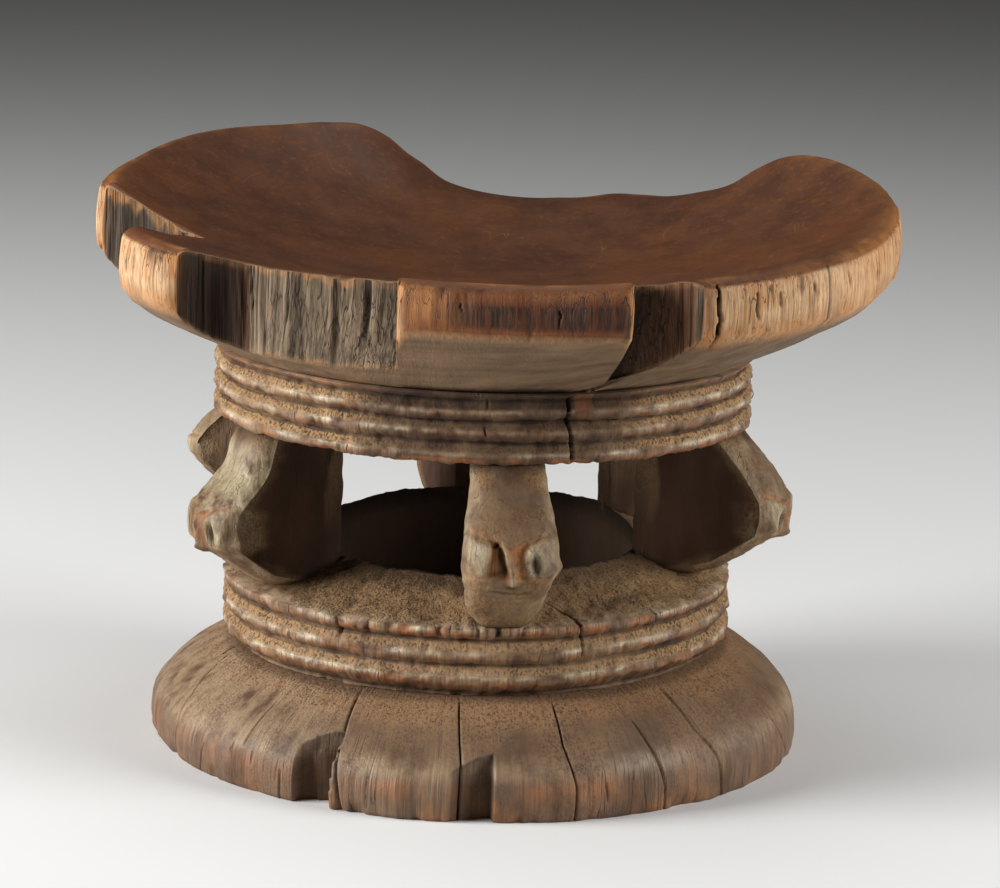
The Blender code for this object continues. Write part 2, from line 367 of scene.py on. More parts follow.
def times(tree, first, second):
    return work(tree, "MULTIPLY", first, second)


def total(tree, value, *terms):
    # adds each term times its factor
    for term, factor in terms:
        value = work(tree, "ADD", value, times(tree, term, factor))
    return value


def spread(tree, value, low, high, toLow=0.0, toHigh=1.0):
    node = tree.nodes.new("ShaderNodeMapRange")
    feed(tree, node.inputs["Value"], value)
    for socket, number in zip(("From Min", "From Max", "To Min", "To Max"), (low, high, toLow, toHigh)):
        node.inputs[socket].default_value = number
    return node.outputs["Result"]


def cloud(tree, scale, stretch, detail, rough, turn=0.0):
    # noise laid along the piece's grain, stretched along an axis by a small number
    place = tree.nodes.new("ShaderNodeAttribute")
    place.attribute_name = "grain"
    mapping = tree.nodes.new("ShaderNodeMapping")
    mapping.inputs["Scale"].default_value = stretch
    mapping.inputs["Rotation"].default_value = (0, 0, turn)
    tree.links.new(place.outputs["Vector"], mapping.inputs["Vector"])
    noise = tree.nodes.new("ShaderNodeTexNoise")
    tree.links.new(mapping.outputs["Vector"], noise.inputs["Vector"])
    noise.inputs["Scale"].default_value = scale
    noise.inputs["Detail"].default_value = detail
    noise.inputs["Roughness"].default_value = rough
    return noise.outputs["Fac"]


def hairlines(tree, scale, stretch, width, turn=0.0):
    # thin lines where a noise crosses its middle
    noise = cloud(tree, scale, stretch, 2.0, 0.5, turn)
    return spread(tree, work(tree, "ABSOLUTE", work(tree, "SUBTRACT", noise, 0.5)), 0.0, width, 1.0, 0.0)


def channels(tree, name):
    layer = tree.nodes.new("ShaderNodeAttribute")
    layer.attribute_name = name
    parts = tree.nodes.new("ShaderNodeSeparateColor")
    tree.links.new(layer.outputs["Color"], parts.inputs["Color"])
    return parts.outputs["Red"], parts.outputs["Green"], parts.outputs["Blue"]


def relief(tree, shader, height, strength, distance):
    bump = tree.nodes.new("ShaderNodeBump")
    bump.inputs["Strength"].default_value = strength
    bump.inputs["Distance"].default_value = distance
    tree.links.new(height, bump.inputs["Height"])
    tree.links.new(bump.outputs["Normal"], shader.inputs["Normal"])


def carvedWood(name, look):
    # dry handled wood: grain, dusty hollows, warm rubbed spots, grey crests with a painted highlight, dirt
    # in the cuts, and painted shade laid in with the soot and dirt layers
    material = bpy.data.materials.new(name)
    material.use_nodes = True
    tree = material.node_tree
    shader = tree.nodes["Principled BSDF"]
    shader.inputs["Specular IOR Level"].default_value = look["shine"]
    dirtAndShade, crest, dust = channels(tree, "tone")
    warm, sootAndShade, lines = channels(tree, "shade")
    grain = cloud(tree, 900.0, (1, 1, 0.05), 4.0, 0.6)
    mottle = cloud(tree, 120.0, (1, 1, 0.8), 6.0, 0.65)
    patch = cloud(tree, 28.0, (1, 1, 0.8), 4.0, 0.55)
    grit = cloud(tree, 1000.0, (1, 1, 0.9), 3.0, 0.7)
    split = times(tree, hairlines(tree, 210.0, (1, 1, 0.05), 0.016), spread(tree, mottle, 0.48, 0.58))
    split = times(tree, split, lines)
    colour = coats(
        tree,
        look["dark"],
        look,
        (spread(tree, mottle, 0.36, 0.64), "body"),
        (spread(tree, patch, 0.48, 0.66, 0.0, 0.65), "pale"),
        (times(tree, warm, spread(tree, mottle, 0.34, 0.60, 0.2, 1.0)), "warm"),
        (times(tree, dust, spread(tree, grit, 0.40, 0.56)), "dust"),
        (times(tree, crest, spread(tree, mottle, 0.36, 0.56)), "crest"),
        (times(tree, lines, spread(tree, grain, 0.52, 0.34, 0.0, 0.9)), "dark"),
        (times(tree, dust, spread(tree, grit, 0.45, 0.36, 0.0, 0.9)), "sootAndShade"),
        (split, "dirtAndShade"),
        (sootAndShade, "sootAndShade"),
        (dirtAndShade, "dirtAndShade"),
    )
    tree.links.new(colour, shader.inputs["Base Color"])
    gloss = spread(tree, mottle, 0.35, 0.7, look["smooth"] + 0.14, look["smooth"])
    gloss = total(tree, gloss, (dust, 0.2), (crest, -0.24), (work(tree, "MAXIMUM", dirtAndShade, sootAndShade), 0.45))
    tree.links.new(gloss, shader.inputs["Roughness"])
    gritty = work(tree, "ADD", dust, 0.12)
    height = times(tree, mottle, 0.5)
    height = total(tree, height, (grit, gritty), (times(tree, grain, lines), 0.7), (split, -0.6))
    relief(tree, shader, height, look["relief"], 0.0010)
    return material


footLook = {
    "dark": tint(86, 63, 45),
    "body": tint(110, 84, 60),
    "pale": tint(134, 106, 78),
    "warm": tint(152, 97, 53),
    "crest": tint(175, 150, 118),
    "dust": tint(150, 113, 74),
    "sootAndShade": tint(56, 39, 27),
    "dirtAndShade": tint(25, 17, 12),
    "smooth": 0.50,
    "shine": 0.50,
    "relief": 0.80,
}
drumLook = dict(
    footLook,
    dark=tint(77, 56, 41),
    body=tint(128, 99, 70),
    pale=tint(152, 121, 88),
    warm=tint(147, 88, 46),
    crest=tint(193, 175, 146),
    dust=tint(166, 130, 87),
    shine=0.36,
    relief=1.0,
)
strutLook = dict(
    footLook,
    dark=tint(91, 68, 47),
    body=tint(122, 97, 69),
    pale=tint(150, 125, 93),
    warm=tint(161, 97, 47),
    crest=tint(172, 157, 127),
    sootAndShade=tint(62, 41, 29),
    smooth=0.54,
    shine=0.30,
    relief=1.0,
)
footWood = carvedWood("footWood", footLook)
drumWood = carvedWood("drumWood", drumLook)
strutWood = carvedWood("strutWood", strutLook)


# flared foot with two flakes off its lip and drying cracks that run down the flare
foot = {
    "steps": 880,
    "rows": 66,
    # radius and height in mm from the waist down the flare, over the shoulder and down the lip
    "flare": [
        (90.6, 37), (91.7, 36.6), (94, 35.8), (97, 34.2), (103, 30.8), (111, 25.2), (116, 20.8),
        (119, 16.8), (120.6, 12), (121, 8), (120.9, 4), (120.4, 1.0), (119.5, 0),
    ],
    "lean": 0.0016,  # the flare stands higher on the camera's right
    "chips": [(-13.5, 0.0145, 0.0045, 0.0115), (14.2, 0.0150, 0.0012, 0.0066)],  # bearing, width, depths
    "cracks": [  # heights down the flare, bearings, width, depth
        ((0.036, 0.0235, 0.014, 0.0), (-58, -51, -49, -49), 0.0010, 0.0030),
        ((0.031, 0.016), (-28, -28.5), 0.0008, 0.0018),
        ((0.037, 0.026, 0.004, 0.0), (-11.6, -9.9, -8.2, -8.0), 0.0011, 0.0030),
        ((0.037, 0.021, 0.0), (11, 12.3, 12.0), 0.0009, 0.0025),
        ((0.036, 0.025, 0.013, 0.0), (31.1, 30.6, 31.9, 31.6), 0.0010, 0.0028),
        ((0.030, 0.016, 0.009, 0.0), (46.0, 47.6, 48.5, 48.9), 0.0012, 0.0030),
        ((0.036, 0.024, 0.014, 0.0), (58.4, 58.3, 60.8, 62.1), 0.0013, 0.0032),
        ((0.022, 0.012, 0.0), (80, 83, 88), 0.0010, 0.0024),
        ((0.013, 0.0), (-38.6, -39.9), 0.0008, 0.0016),
        ((0.012, 0.0), (-19.6, -19.8), 0.0008, 0.0016),
        ((0.014, 0.005), (37.0, 37.4), 0.0008, 0.0014),
        ((0.034, 0.015, 0.0), (104, 107, 106), 0.0011, 0.0028),
        ((0.030, 0.012, 0.0), (127, 126, 128), 0.0010, 0.0024),
        ((0.036, 0.018, 0.0), (151, 149, 150), 0.0012, 0.0030),
        ((0.028, 0.010, 0.0), (176, 178, 177), 0.0009, 0.0020),
        ((0.036, 0.020, 0.0), (203, 206, 205), 0.0012, 0.0030),
        ((0.024, 0.010, 0.0), (226, 225, 227), 0.0009, 0.0022),
        ((0.035, 0.017, 0.0), (249, 252, 251), 0.0011, 0.0026),
        ((0.026, 0.012, 0.0), (276, 274, 275), 0.0010, 0.0022),
    ],
}


def tilt(bearing, amount):
    return amount * np.sin(np.radians(bearing - view["turn"]))


def smoothLine(points, rows):
    # even steps along a smooth line through the listed points
    points = np.array(points, float)
    walk = walkAlong(points)
    at = np.linspace(0, walk[-1], rows + 1)
    return np.column_stack([curveThrough(at, dict(zip(walk, points[:, axis]))) for axis in (0, 1)])


def makeFoot():
    outer = (footHigh.x - footLow.x) / 2
    bottom, top = footLow.z, footHigh.z
    side = smoothLine(foot["flare"], foot["rows"])
    side = side * (outer / max(side[:, 0]), (top - bottom) / max(side[:, 1])) + (0, bottom)
    waist = side[0, 0]
    profile = [(wellRadius, top), ((wellRadius + waist) / 2, top), *map(tuple, side)]
    profile += [(outer - 0.012, bottom), ((outer + wellRadius) / 2, bottom), (wellRadius, bottom)]
    profile += wellWall(bottom, top, 4)
    steps = foot["steps"]
    piece, row, column = turnPiece("carvedFoot", profile, steps)
    loop = np.array(profile)
    radius, height = loop[row, 0], loop[row, 1]
    bearing, crackDepth = openCracks(column, steps, radius, height, foot["cracks"])
    crackDepth = crackDepth * np.where(height < bottom + 0.0004, radius > outer - 0.004, 1)
    plain = placeTurned(bearing, radius, height)
    flare = ease(radius, waist - 0.001, waist + 0.003)
    low = fade(height, bottom + 0.003, bottom + 0.016)

    # hand-cut unevenness, then the flakes off the lip
    radius = radius + flare * (0.0008 * roughness(plain, (0.05, 0.05, 0.2), 3) + 0.0010)
    radius = radius - low * flare * 0.0003 * (1 + roughness(plain, 0.011, 5, 2))
    hem = flare * fade(height, bottom + 0.001, bottom + 0.0055)
    radius = radius - 0.0014 * hem * ease(roughness(plain, (0.007, 0.007, 0.02), 6, 2), 0.0, 0.8)
    lift = tilt(bearing, foot["lean"]) * ease(height, bottom + 0.004, bottom + 0.020)
    lift = lift + 0.0009 * roughness(plain, 0.06, 9) * ease(height, bottom + 0.006, bottom + 0.016)
    chipped = np.zeros(len(radius))
    for middle, width, leftDepth, rightDepth in foot["chips"]:
        turn = np.radians(sideways(bearing, middle))
        across = radius * np.sin(turn) / (width / 2)
        depth = leftDepth + (rightDepth - leftDepth) * ((across + 1) / 2) ** 0.8
        depth = depth + 0.0005 * roughness(plain, (0.004, 0.004, 0.03), 7, 2)
        limit = (outer - depth) / np.cos(turn)
        inside = (np.abs(across) < 1) & (radius > limit) & (np.abs(turn) < 1)
        radius = np.where(inside, limit, radius)
        chipped = np.maximum(chipped, inside)
    setSpots(piece, placeTurned(bearing, radius, height + lift))
    shown = flare * (height > bottom + 0.0004)
    dents = 0.00030 * roughness(plain, 0.011, 11, 2)
    strands = 0.00030 * roughness(plain, (0.0022, 0.0022, 0.03), 17)
    lip = fade(plain[:, 2], bottom + 0.013, bottom + 0.0185)
    carve(piece, shown * (dents + np.where(chipped > 0, strands, lip * strands)) + crackDepth)
    waistBand = ease(plain[:, 2] + 0.002 * roughness(plain, 0.012, 27, 2), top - 0.009, top - 0.002)
    dirtAndShade = np.maximum(crackDepth / 0.0016, 0.35 * ease(plain[:, 2], top - 0.002, top - 0.0003))
    # painted highlight along the shoulder
    shoulder = bump(plain[:, 2] - bottom, 0.0180, 0.0035) * flare
    crest = 0.6 * shoulder * (0.6 + 0.6 * roughness(plain, 0.02, 23))
    paintedLeftLight = facing(bearing, -62, 0.45, 0.95)  # painted light: the flare is paler on the left, where the lamp falls
    crest = np.maximum(crest, 0.60 * flare * (1 - lip) * paintedLeftLight)
    dust = 0.50 * flare * ease(roughness(plain, 0.02, 29, 2), -0.6, 0.7) + 0.8 * waistBand
    warm = lip * (0.25 + 0.6 * roughness(plain, 0.012, 31, 2)) + 0.5 * waistBand
    stains = lip * ease(roughness(plain, (0.009, 0.009, 0.05), 35), 0.2, 0.7)
    sootAndShade = np.maximum(0.55 * chipped, 0.5 * stains)
    # painted shade down the inside of the well
    sootAndShade = np.maximum(sootAndShade, 0.9 * fade(radius, wellRadius + 0.001, wellRadius + 0.006))
    layGrain(piece, placeTurned(bearing, outer, walkAlong(loop)[row]))
    paint(piece, "tone", dirtAndShade, crest, dust * (1 - 0.6 * lip))
    paint(piece, "shade", warm, sootAndShade, 0.40 + 0.40 * np.maximum(lip, chipped))
    finishPiece(piece, footWood, "foot_wood", "base")


makeFoot()


# ridged ring and drum: narrow crests with scooped, dusty hollows between them
ring = {
    "steps": 800,
    "crests": (0.02, 0.36, 0.70, 1.24),  # shares of the height, from the top
    "scoop": 0.0021,
    "farRise": 0.0055,  # the sill stands higher on the far side
    "tuck": 0.0034,  # drawn in above the foot
    "rows": 60,
    "sillRows": 26,
    "sillRise": 0.011,
    "lean": 0.0014,
    "cracks": [
        ((0.0690, 0.064, 0.056, 0.050), (31.5, 37.0, 38.0, 37.8), 0.0011, 0.0026),
        ((0.0700, 0.064, 0.057), (50.0, 57.0, 57.6), 0.0012, 0.0026),
        ((0.0640, 0.056), (-17.5, -17.0), 0.0010, 0.0022),
        ((0.0640, 0.052), (84, 85), 0.0009, 0.0020),
        ((0.0640, 0.046), (128, 127), 0.0010, 0.0024),
        ((0.0640, 0.055), (172, 173), 0.0009, 0.0020),
        ((0.0640, 0.050), (231, 230), 0.0010, 0.0024),
        ((0.0640, 0.056), (287, 288), 0.0009, 0.0020),
    ],
}
drum = {
    "steps": 800,
    "crests": (-0.06, 0.25, 0.545, 0.87, 1.19),
    "scoop": 0.0018,
    "farRise": 0.0,
    "tuck": 0.0,
    "rows": 60,
    "lean": 0.0,
    "cracks": [
        ((0.1478, 0.139, 0.1317, 0.1235), (31.8, 31.6, 32.4, 32.7), 0.0018, 0.0045),
        ((0.147, 0.1427), (15.2, 15.4), 0.0010, 0.0022),
        ((0.1375, 0.1325), (14.2, 14.8), 0.0010, 0.0022),
        ((0.138, 0.1335), (-27.0, -27.2), 0.0009, 0.0020),
        ((0.146, 0.130), (78, 77), 0.0010, 0.0024),
        ((0.146, 0.124), (119, 121), 0.0012, 0.0030),
        ((0.142, 0.128), (187, 186), 0.0010, 0.0024),
        ((0.146, 0.126), (251, 252), 0.0012, 0.0028),
        ((0.140, 0.126), (304, 303), 0.0009, 0.0022),
    ],
}


# cuts of the blade across the ridges in m: spacing, width, depth, and how rare they are
bladeCuts = [(0.0034, 0.0005, 0.0003, 0.1), (0.0075, 0.0007, 0.0007, 0.3), (0.023, 0.0010, 0.0012, 0.4)]
bandRadius = 0.097


def toolMarks(bearing, band, seed):
    # narrow upright cuts at uneven spacing, different on each band
    along = bearing / 360 * math.tau * bandRadius
    cut = np.zeros(len(bearing))
    for spacing, width, deep, rare in bladeCuts:
        cell = np.floor(along / spacing).astype(np.int64)
        key = np.column_stack((cell, band.astype(np.int64), np.zeros_like(cell)))
        middle = (cell + 0.5 + 0.35 * cellValue(key, seed)) * spacing
        present = cellValue(key, seed + 5) > rare
        cut = np.maximum(cut, present * deep * bump(along, middle, width))
    return cut


def carveRidges(piece, values, loop, row, column, first, last, seed):
    # shapes the side between two rows of the loop, and gives what the finish needs
    steps = values["steps"]
    radius, height = loop[row, 0], loop[row, 1]
    bearing, crackDepth = openCracks(column, steps, radius, height, values["cracks"])
    plain = placeTurned(bearing, radius, height)
    side = (row >= first) & (row < last)
    crackDepth = crackDepth * (row < last)
    share = np.where(side, (row - first) / (last - 1 - first), 0.0)
    drift = roughness(plain, (0.036, 0.036, 0.010), seed, 2)
    place = share + 0.028 * drift * np.sin(math.pi * share) ** 0.5
    crests = np.array(values["crests"])
    band = np.clip(np.searchsorted(crests, place) - 1, 0, len(crests) - 2)
    within = np.clip((place - crests[band]) / (crests[band + 1] - crests[band]), 0, 1)
    # an upright face under each crest, a groove at its foot, then a slope out to the next crest
    groove = bump(within, 0.49, 0.06) * side
    hollow = ease(within, 0.18, 0.48) * fade(within, 0.46, 1.0) * side + 0.35 * groove
    upright = fade(within, 0.34, 0.48) * side
    slope = ease(within, 0.52, 0.62) * side
    crown = bump(np.min(np.abs(place[:, None] - crests), axis=1), 0.0, 0.036) * side
    uneven = 1 + 0.45 * roughness(plain, (0.024, 0.024, 0.008), seed + 1)
    radius = radius - values["scoop"] * hollow * uneven - values["tuck"] * side * ease(place, 0.76, 1.0)
    radius = radius + side * 0.0008 * roughness(plain, 0.03, seed + 2)
    radius = radius + side * 0.00050 * roughness(plain, (0.0075, 0.0075, 0.0035), seed + 6, 2)
    nearWell = fade(radius, wellRadius, wellRadius + 0.030) * (height > height.mean())
    rise = values["farRise"] * nearWell * facing(bearing, view["turn"] + 180, 0.1, 0.8)
    setSpots(piece, placeTurned(bearing, radius, height + tilt(bearing, values["lean"]) + rise))
    patchy = ease(roughness(plain, (0.03, 0.03, 0.006), seed + 4, 2), -0.3, 0.7)
    marks = toolMarks(bearing, band, seed + 3) * upright * patchy
    layGrain(piece, placeTurned(bearing, loop[:, 0].max(), walkAlong(loop)[row]))
    return plain, side, crackDepth, crown, upright, slope, groove, marks, band


def makeRing():
    outer = (ringHigh.x - ringLow.x) / 2
    bottom, top = ringLow.z, ringHigh.z - ring["sillRise"]
    edge = outer - 0.0018
    profile = []
    for i in range(ring["sillRows"]):
        share = i / ring["sillRows"]
        profile.append((wellRadius + (edge - wellRadius) * share, ringHigh.z - ring["sillRise"] * share))
    first = len(profile)
    profile += [(outer, top + (bottom - top) * i / ring["rows"]) for i in range(ring["rows"] + 1)]
    last = len(profile)
    profile += [((outer + wellRadius) / 2, bottom), (wellRadius, bottom)]
    profile += wellWall(bottom, ringHigh.z, 4)
    piece, row, column = turnPiece("ridgedRing", profile, ring["steps"])
    carved = carveRidges(piece, ring, np.array(profile), row, column, first, last, 41)
    plain, side, crackDepth, crown, upright, slope, groove, marks, band = carved
    sill = row < first
    bearing, reach = roundAxis(plain)
    front = facing(bearing, 11.46, 0.6, 0.95)
    marks = marks * np.where(band == 0, 0.4 + 1.0 * front, 0.45)
    coarse = roughness(plain, 0.005, 53, 3)
    crumbs = roughness(plain, 0.0026, 55, 2)
    pitted = 0.0005 * coarse + 0.0006 * roughness(plain, 0.016, 59)
    depth = side * (marks + 0.00036 * coarse) + sill * pitted
    carve(piece, depth + 0.00038 * crumbs * (side | sill) + crackDepth)
    flakes = sill * ease(roughness(plain, 0.006, 61, 2), 0.5, 0.9)
    cuts = np.maximum(crackDepth / 0.0014, marks / 0.0010)
    dirtAndShade = np.maximum.reduce([cuts, 0.5 * flakes, 0.75 * groove * (0.9 + 0.4 * coarse)])
    # the crests and the sill's outer edge take a painted highlight over their grey
    rubbed = 0.55 + 0.9 * roughness(plain, 0.009, 67, 3)
    crest = crown * rubbed + sill * 0.6 * ease(reach, edge - 0.005, edge)
    warm = upright * (0.35 + 0.5 * coarse) * (1 + 0.8 * front * (band == 0))
    dust = sill * (0.7 + 0.4 * roughness(plain, 0.02, 71)) + slope * (1 - crown) * (1.0 + 0.3 * coarse)
    worn = sill * ease(reach, edge - 0.016, edge - 0.006) * ease(roughness(plain, 0.03, 73), -0.3, 0.3)
    dust = dust * (1 - 0.8 * worn) * (1 - 0.35 * front * side)
    # painted shade on the sill towards the well, and down the well's wall
    sootAndShade = 0.6 * sill * fade(reach, wellRadius + 0.002, wellRadius + 0.018)
    sootAndShade = np.maximum(sootAndShade, 0.95 * (reach < wellRadius + 0.0005))
    paint(piece, "tone", dirtAndShade, crest, dust)
    paint(piece, "shade", warm, sootAndShade, 0.14 + 0.50 * upright)
    finishPiece(piece, drumWood, "drum_wood", "lower_drum")


def makeDrum():
    outer = (drumHigh.x - drumLow.x) / 2
    bottom, top = drumLow.z, drumHigh.z
    profile = [(wellRadius, top), ((outer + wellRadius) / 2, top)]
    first = len(profile)
    profile += [(outer, top + (bottom - top) * i / drum["rows"]) for i in range(drum["rows"] + 1)]
    last = len(profile)
    profile += [(outer - 0.008, bottom), ((outer + wellRadius) / 2, bottom), (wellRadius, bottom)]
    profile += wellWall(bottom, top, 3)
    piece, row, column = turnPiece("ridgedDrum", profile, drum["steps"])
    carved = carveRidges(piece, drum, np.array(profile), row, column, first, last, 81)
    plain, side, crackDepth, crown, upright, slope, groove, marks, band = carved
    coarse = roughness(plain, 0.005, 89, 3)
    crumbs = roughness(plain, 0.0026, 90, 2)
    seated = fade(plain[:, 2], top - 0.0030, top - 0.0008)  # plain where the seat rests on it
    carve(piece, seated * side * (0.55 * marks + 0.00042 * coarse + 0.00042 * crumbs) + crackDepth)
    bearing, reach = roundAxis(plain)
    front = facing(bearing, 18.33, 0.82, 0.95)  # painted shadow under the tab
    cuts = np.maximum(crackDepth / 0.0014, 0.55 * marks / 0.0010)
    dirtAndShade = np.maximum(cuts, 0.75 * groove * (0.9 + 0.4 * coarse))
    # dimmer crests, less dust and darker wood on the front: painted shadow under the tab
    crest = crown * (0.55 + 0.9 * roughness(plain, 0.009, 93, 3)) * (1 - 0.45 * front)
    lowEdge = side * ease(drumLow.z + 0.0026 - plain[:, 2], 0.0, 0.0012)
    redEdge = lowEdge * ease(roughness(plain, 0.008, 95), -0.2, 0.3)
    warm = upright * (0.25 + 0.5 * coarse) + redEdge
    dust = slope * (1 - crown) * (1.0 + 0.3 * coarse) * (1 - 0.6 * front)
    shade = front * side * (1 - 0.6 * crown) * (0.66 + 0.26 * (band == 0) + 0.15 * coarse)
    # painted shade over the top and bottom faces away from the edge, and down the well
    sootAndShade = np.maximum(0.85 * fade(reach, outer - 0.012, outer - 0.006), shade * (1 - redEdge))
    # a red chip beside the long crack
    chip = side * ease(bearing, 32.8, 33.2) * fade(bearing, 36.2, 37.4) * ease(plain[:, 2], 0.1385, 0.1400)
    warm, sootAndShade = np.maximum(warm, chip), np.where(chip > 0.3, 0.6, sootAndShade)
    dust, crest = dust * (1 - chip), crest * (1 - chip)
    paint(piece, "tone", dirtAndShade, crest, dust)
    paint(piece, "shade", warm, sootAndShade, 0.12 + 0.36 * upright)
    finishPiece(piece, drumWood, "drum_wood", "upper_drum")


makeRing()
makeDrum()


# struts: deep upright fins that end in a carved head under the drum
strut = {
    # bearing, then in mm how far out it meets the sill, how far the head stands out, how much the forehead
    # is hollowed, the head's lift and its turn, which way round the face is, and how much it is bleached
    # and painted lighter as lit
    "each": {
        "strut_front": (20.0, 94.5, 0.0, 2.0, 0.0, 0.0, 1, 0.0),
        "strut_right": (90.0, 82.0, 0.4, 0.5, 0.0, 0.4, -1, 0.2),
        "strut_back_right": (141.0, 84.0, -0.8, 1.5, 0.8, -0.5, -1, 0.5),
        "strut_back": (200.0, 86.0, 0.4, 2.0, -1.0, 0.3, 1, 0.4),
        "strut_left": (265.0, 82.0, -1.0, -2.0, 10.0, -0.4, -1, 0.2),
        "strut_front_left": (314.0, 86.0, 0.0, 5.0, -3.5, 0.5, 1, 0.9),
    },
    "columns": 170,
    "rows": 130,
    "capRows": 5,
    "innerWidth": 16.0,
    "bevel": 4.5,  # taken off the corners by the well
    "sideSootAndShade": {"strut_left": 0.5},  # share of soot and painted shade on the sides, where it is less than on the others
    "cheekDepth": 7.5,
    "chin": 23.0,
    # height above the ring's edge in mm: how far out the head stands, and its width
    "front": {
        23: 115.4, 27: 116.4, 32: 116.8, 36: 116.2, 39: 114.6, 42.3: 112.8, 46: 110.2, 49.5: 107.2,
        53: 103.9, 57: 100.3, 62: 96.0,
    },
    "width": {0: 20, 5: 24, 10: 27.2, 16: 30, 21: 32, 29: 33.6, 36: 33, 42: 31.3, 48: 28.6, 60: 26.2},
}


def faceRelief(across, level):
    # the carving over the smooth head in mm, where it is grey or warm, and where shade is painted dark
    brow = 34.4 + 0.40 * np.minimum(np.abs(across), 13)
    face = ease(brow - level, -0.5, 1.3) * ease(level, 21.5, 24.0)
    ridgeLine = np.interp(level, (20.5, 28, 36), (0.8, -0.6, -3.2))
    across = across + 0.5 * roughness(np.column_stack((across, level, 0 * level)), 6.0, 901, 2)
    level = level + 0.5 * roughness(np.column_stack((across, level, 0 * level)), 6.0, 903, 2)
    flankEdge = np.interp(level, (20.5, 32, 36), (5.2, 4.0, 3.0))
    stand = np.interp(level, (19.9, 20.6, 23, 30, 35.5), (0.0, 4.4, 4.2, 3.4, 1.8)) * fade(level, 34, 37.0)
    leftSide = bump(across, ridgeLine, 1.2)
    rightSide = 0.55 * np.clip(1 - (across - ridgeLine) / (flankEdge - ridgeLine), 0, 1)
    rightSide = rightSide + 0.45 * bump(across, ridgeLine, 1.3)
    nose = stand * np.where(across < ridgeLine, leftSide, rightSide)
    # a plate on each cheek, an eye slit beside the nose on the left and in the plate on the right
    high = ease(level, 22.2, 25.4) * ease(brow - level, 0.0, 3.6)
    plateEdge = np.interp(level, (23, 28, 36), (-8.8, -8.2, -7.0))
    plate = high * np.maximum(fade(across, plateEdge - 1.2, plateEdge + 1.2), ease(across, 3.6, 6.4))
    inner = ridgeLine - 1.0
    outer = np.interp(level, (24.0, 28.0, 36.8), (-7.4, -6.5, -5.2))
    leftEye = ease(across, outer - 1.2, outer + 1.0) * fade(across, inner - 0.6, inner + 0.8)
    leftEye = leftEye * ease(level, 22.8, 26.6) * fade(level, 34.6, 36.6)
    leftEye = leftEye * (0.8 + 2.0 * ease(across, outer + 1.2, inner - 0.8))  # deepest beside the nose
    oval = np.hypot((across - 8.4) / 2.5, (level - 28.4) / 4.8)
    rightEye = 2.6 * fade(oval, 0.15, 1.2)
    cheek = 2.0 * bump(across, 14.2, 2.6) * bump(level, 25.8, 3.4)
    lids = 0.9 * bump(across, -8.0, 3.4) * bump(level, 23.9, 0.8)
    lids = lids + 0.9 * bump(across, 10.5, 3.4) * bump(level, 23.0, 0.8)
    # under the nose: a hollow lip, the mouth and the crease over the chin
    below = 0.7 * ease(22.0 - level, 0.0, 1.6) * fade(18.5 - level, 0, 5) * fade(np.abs(across), 7, 11)
    curved = level - 0.020 * across**2
    lip = 0.6 * bump(curved, 18.4, 0.9) * ease(across, -10, -7) * fade(across, 6, 9)
    mouth = 0.7 * bump(curved, 16.8, 0.5) * ease(across, -8, -5) * fade(across, 5, 8)
    under = level - 14.0 - 0.028 * across**2
    crease = 0.7 * bump(under, 0.0, 0.6) * fade(np.abs(across), 6, 9.5)
    raised = nose + 2.3 * plate + cheek + lids + lip
    sunk = 1.7 * face + leftEye + rightEye + below + mouth + crease
    grey = np.maximum(plate, stand / 4.4 * bump(across, ridgeLine, 0.9))
    tip = bump(across, 0.6, 2.0) * bump(level, 19.3, 0.7)  # shadow under the nose
    # painted shade in the eye hollows, with the shadow under the nose
    dark = leftEye / 2.8 * ease(across, ridgeLine - 4.2, ridgeLine - 2.4)
    dark = np.maximum.reduce([dark, rightEye / 2.6, 0.8 * tip])
    return raised - sunk, grey, np.maximum(face * (1 - grey), lids), dark


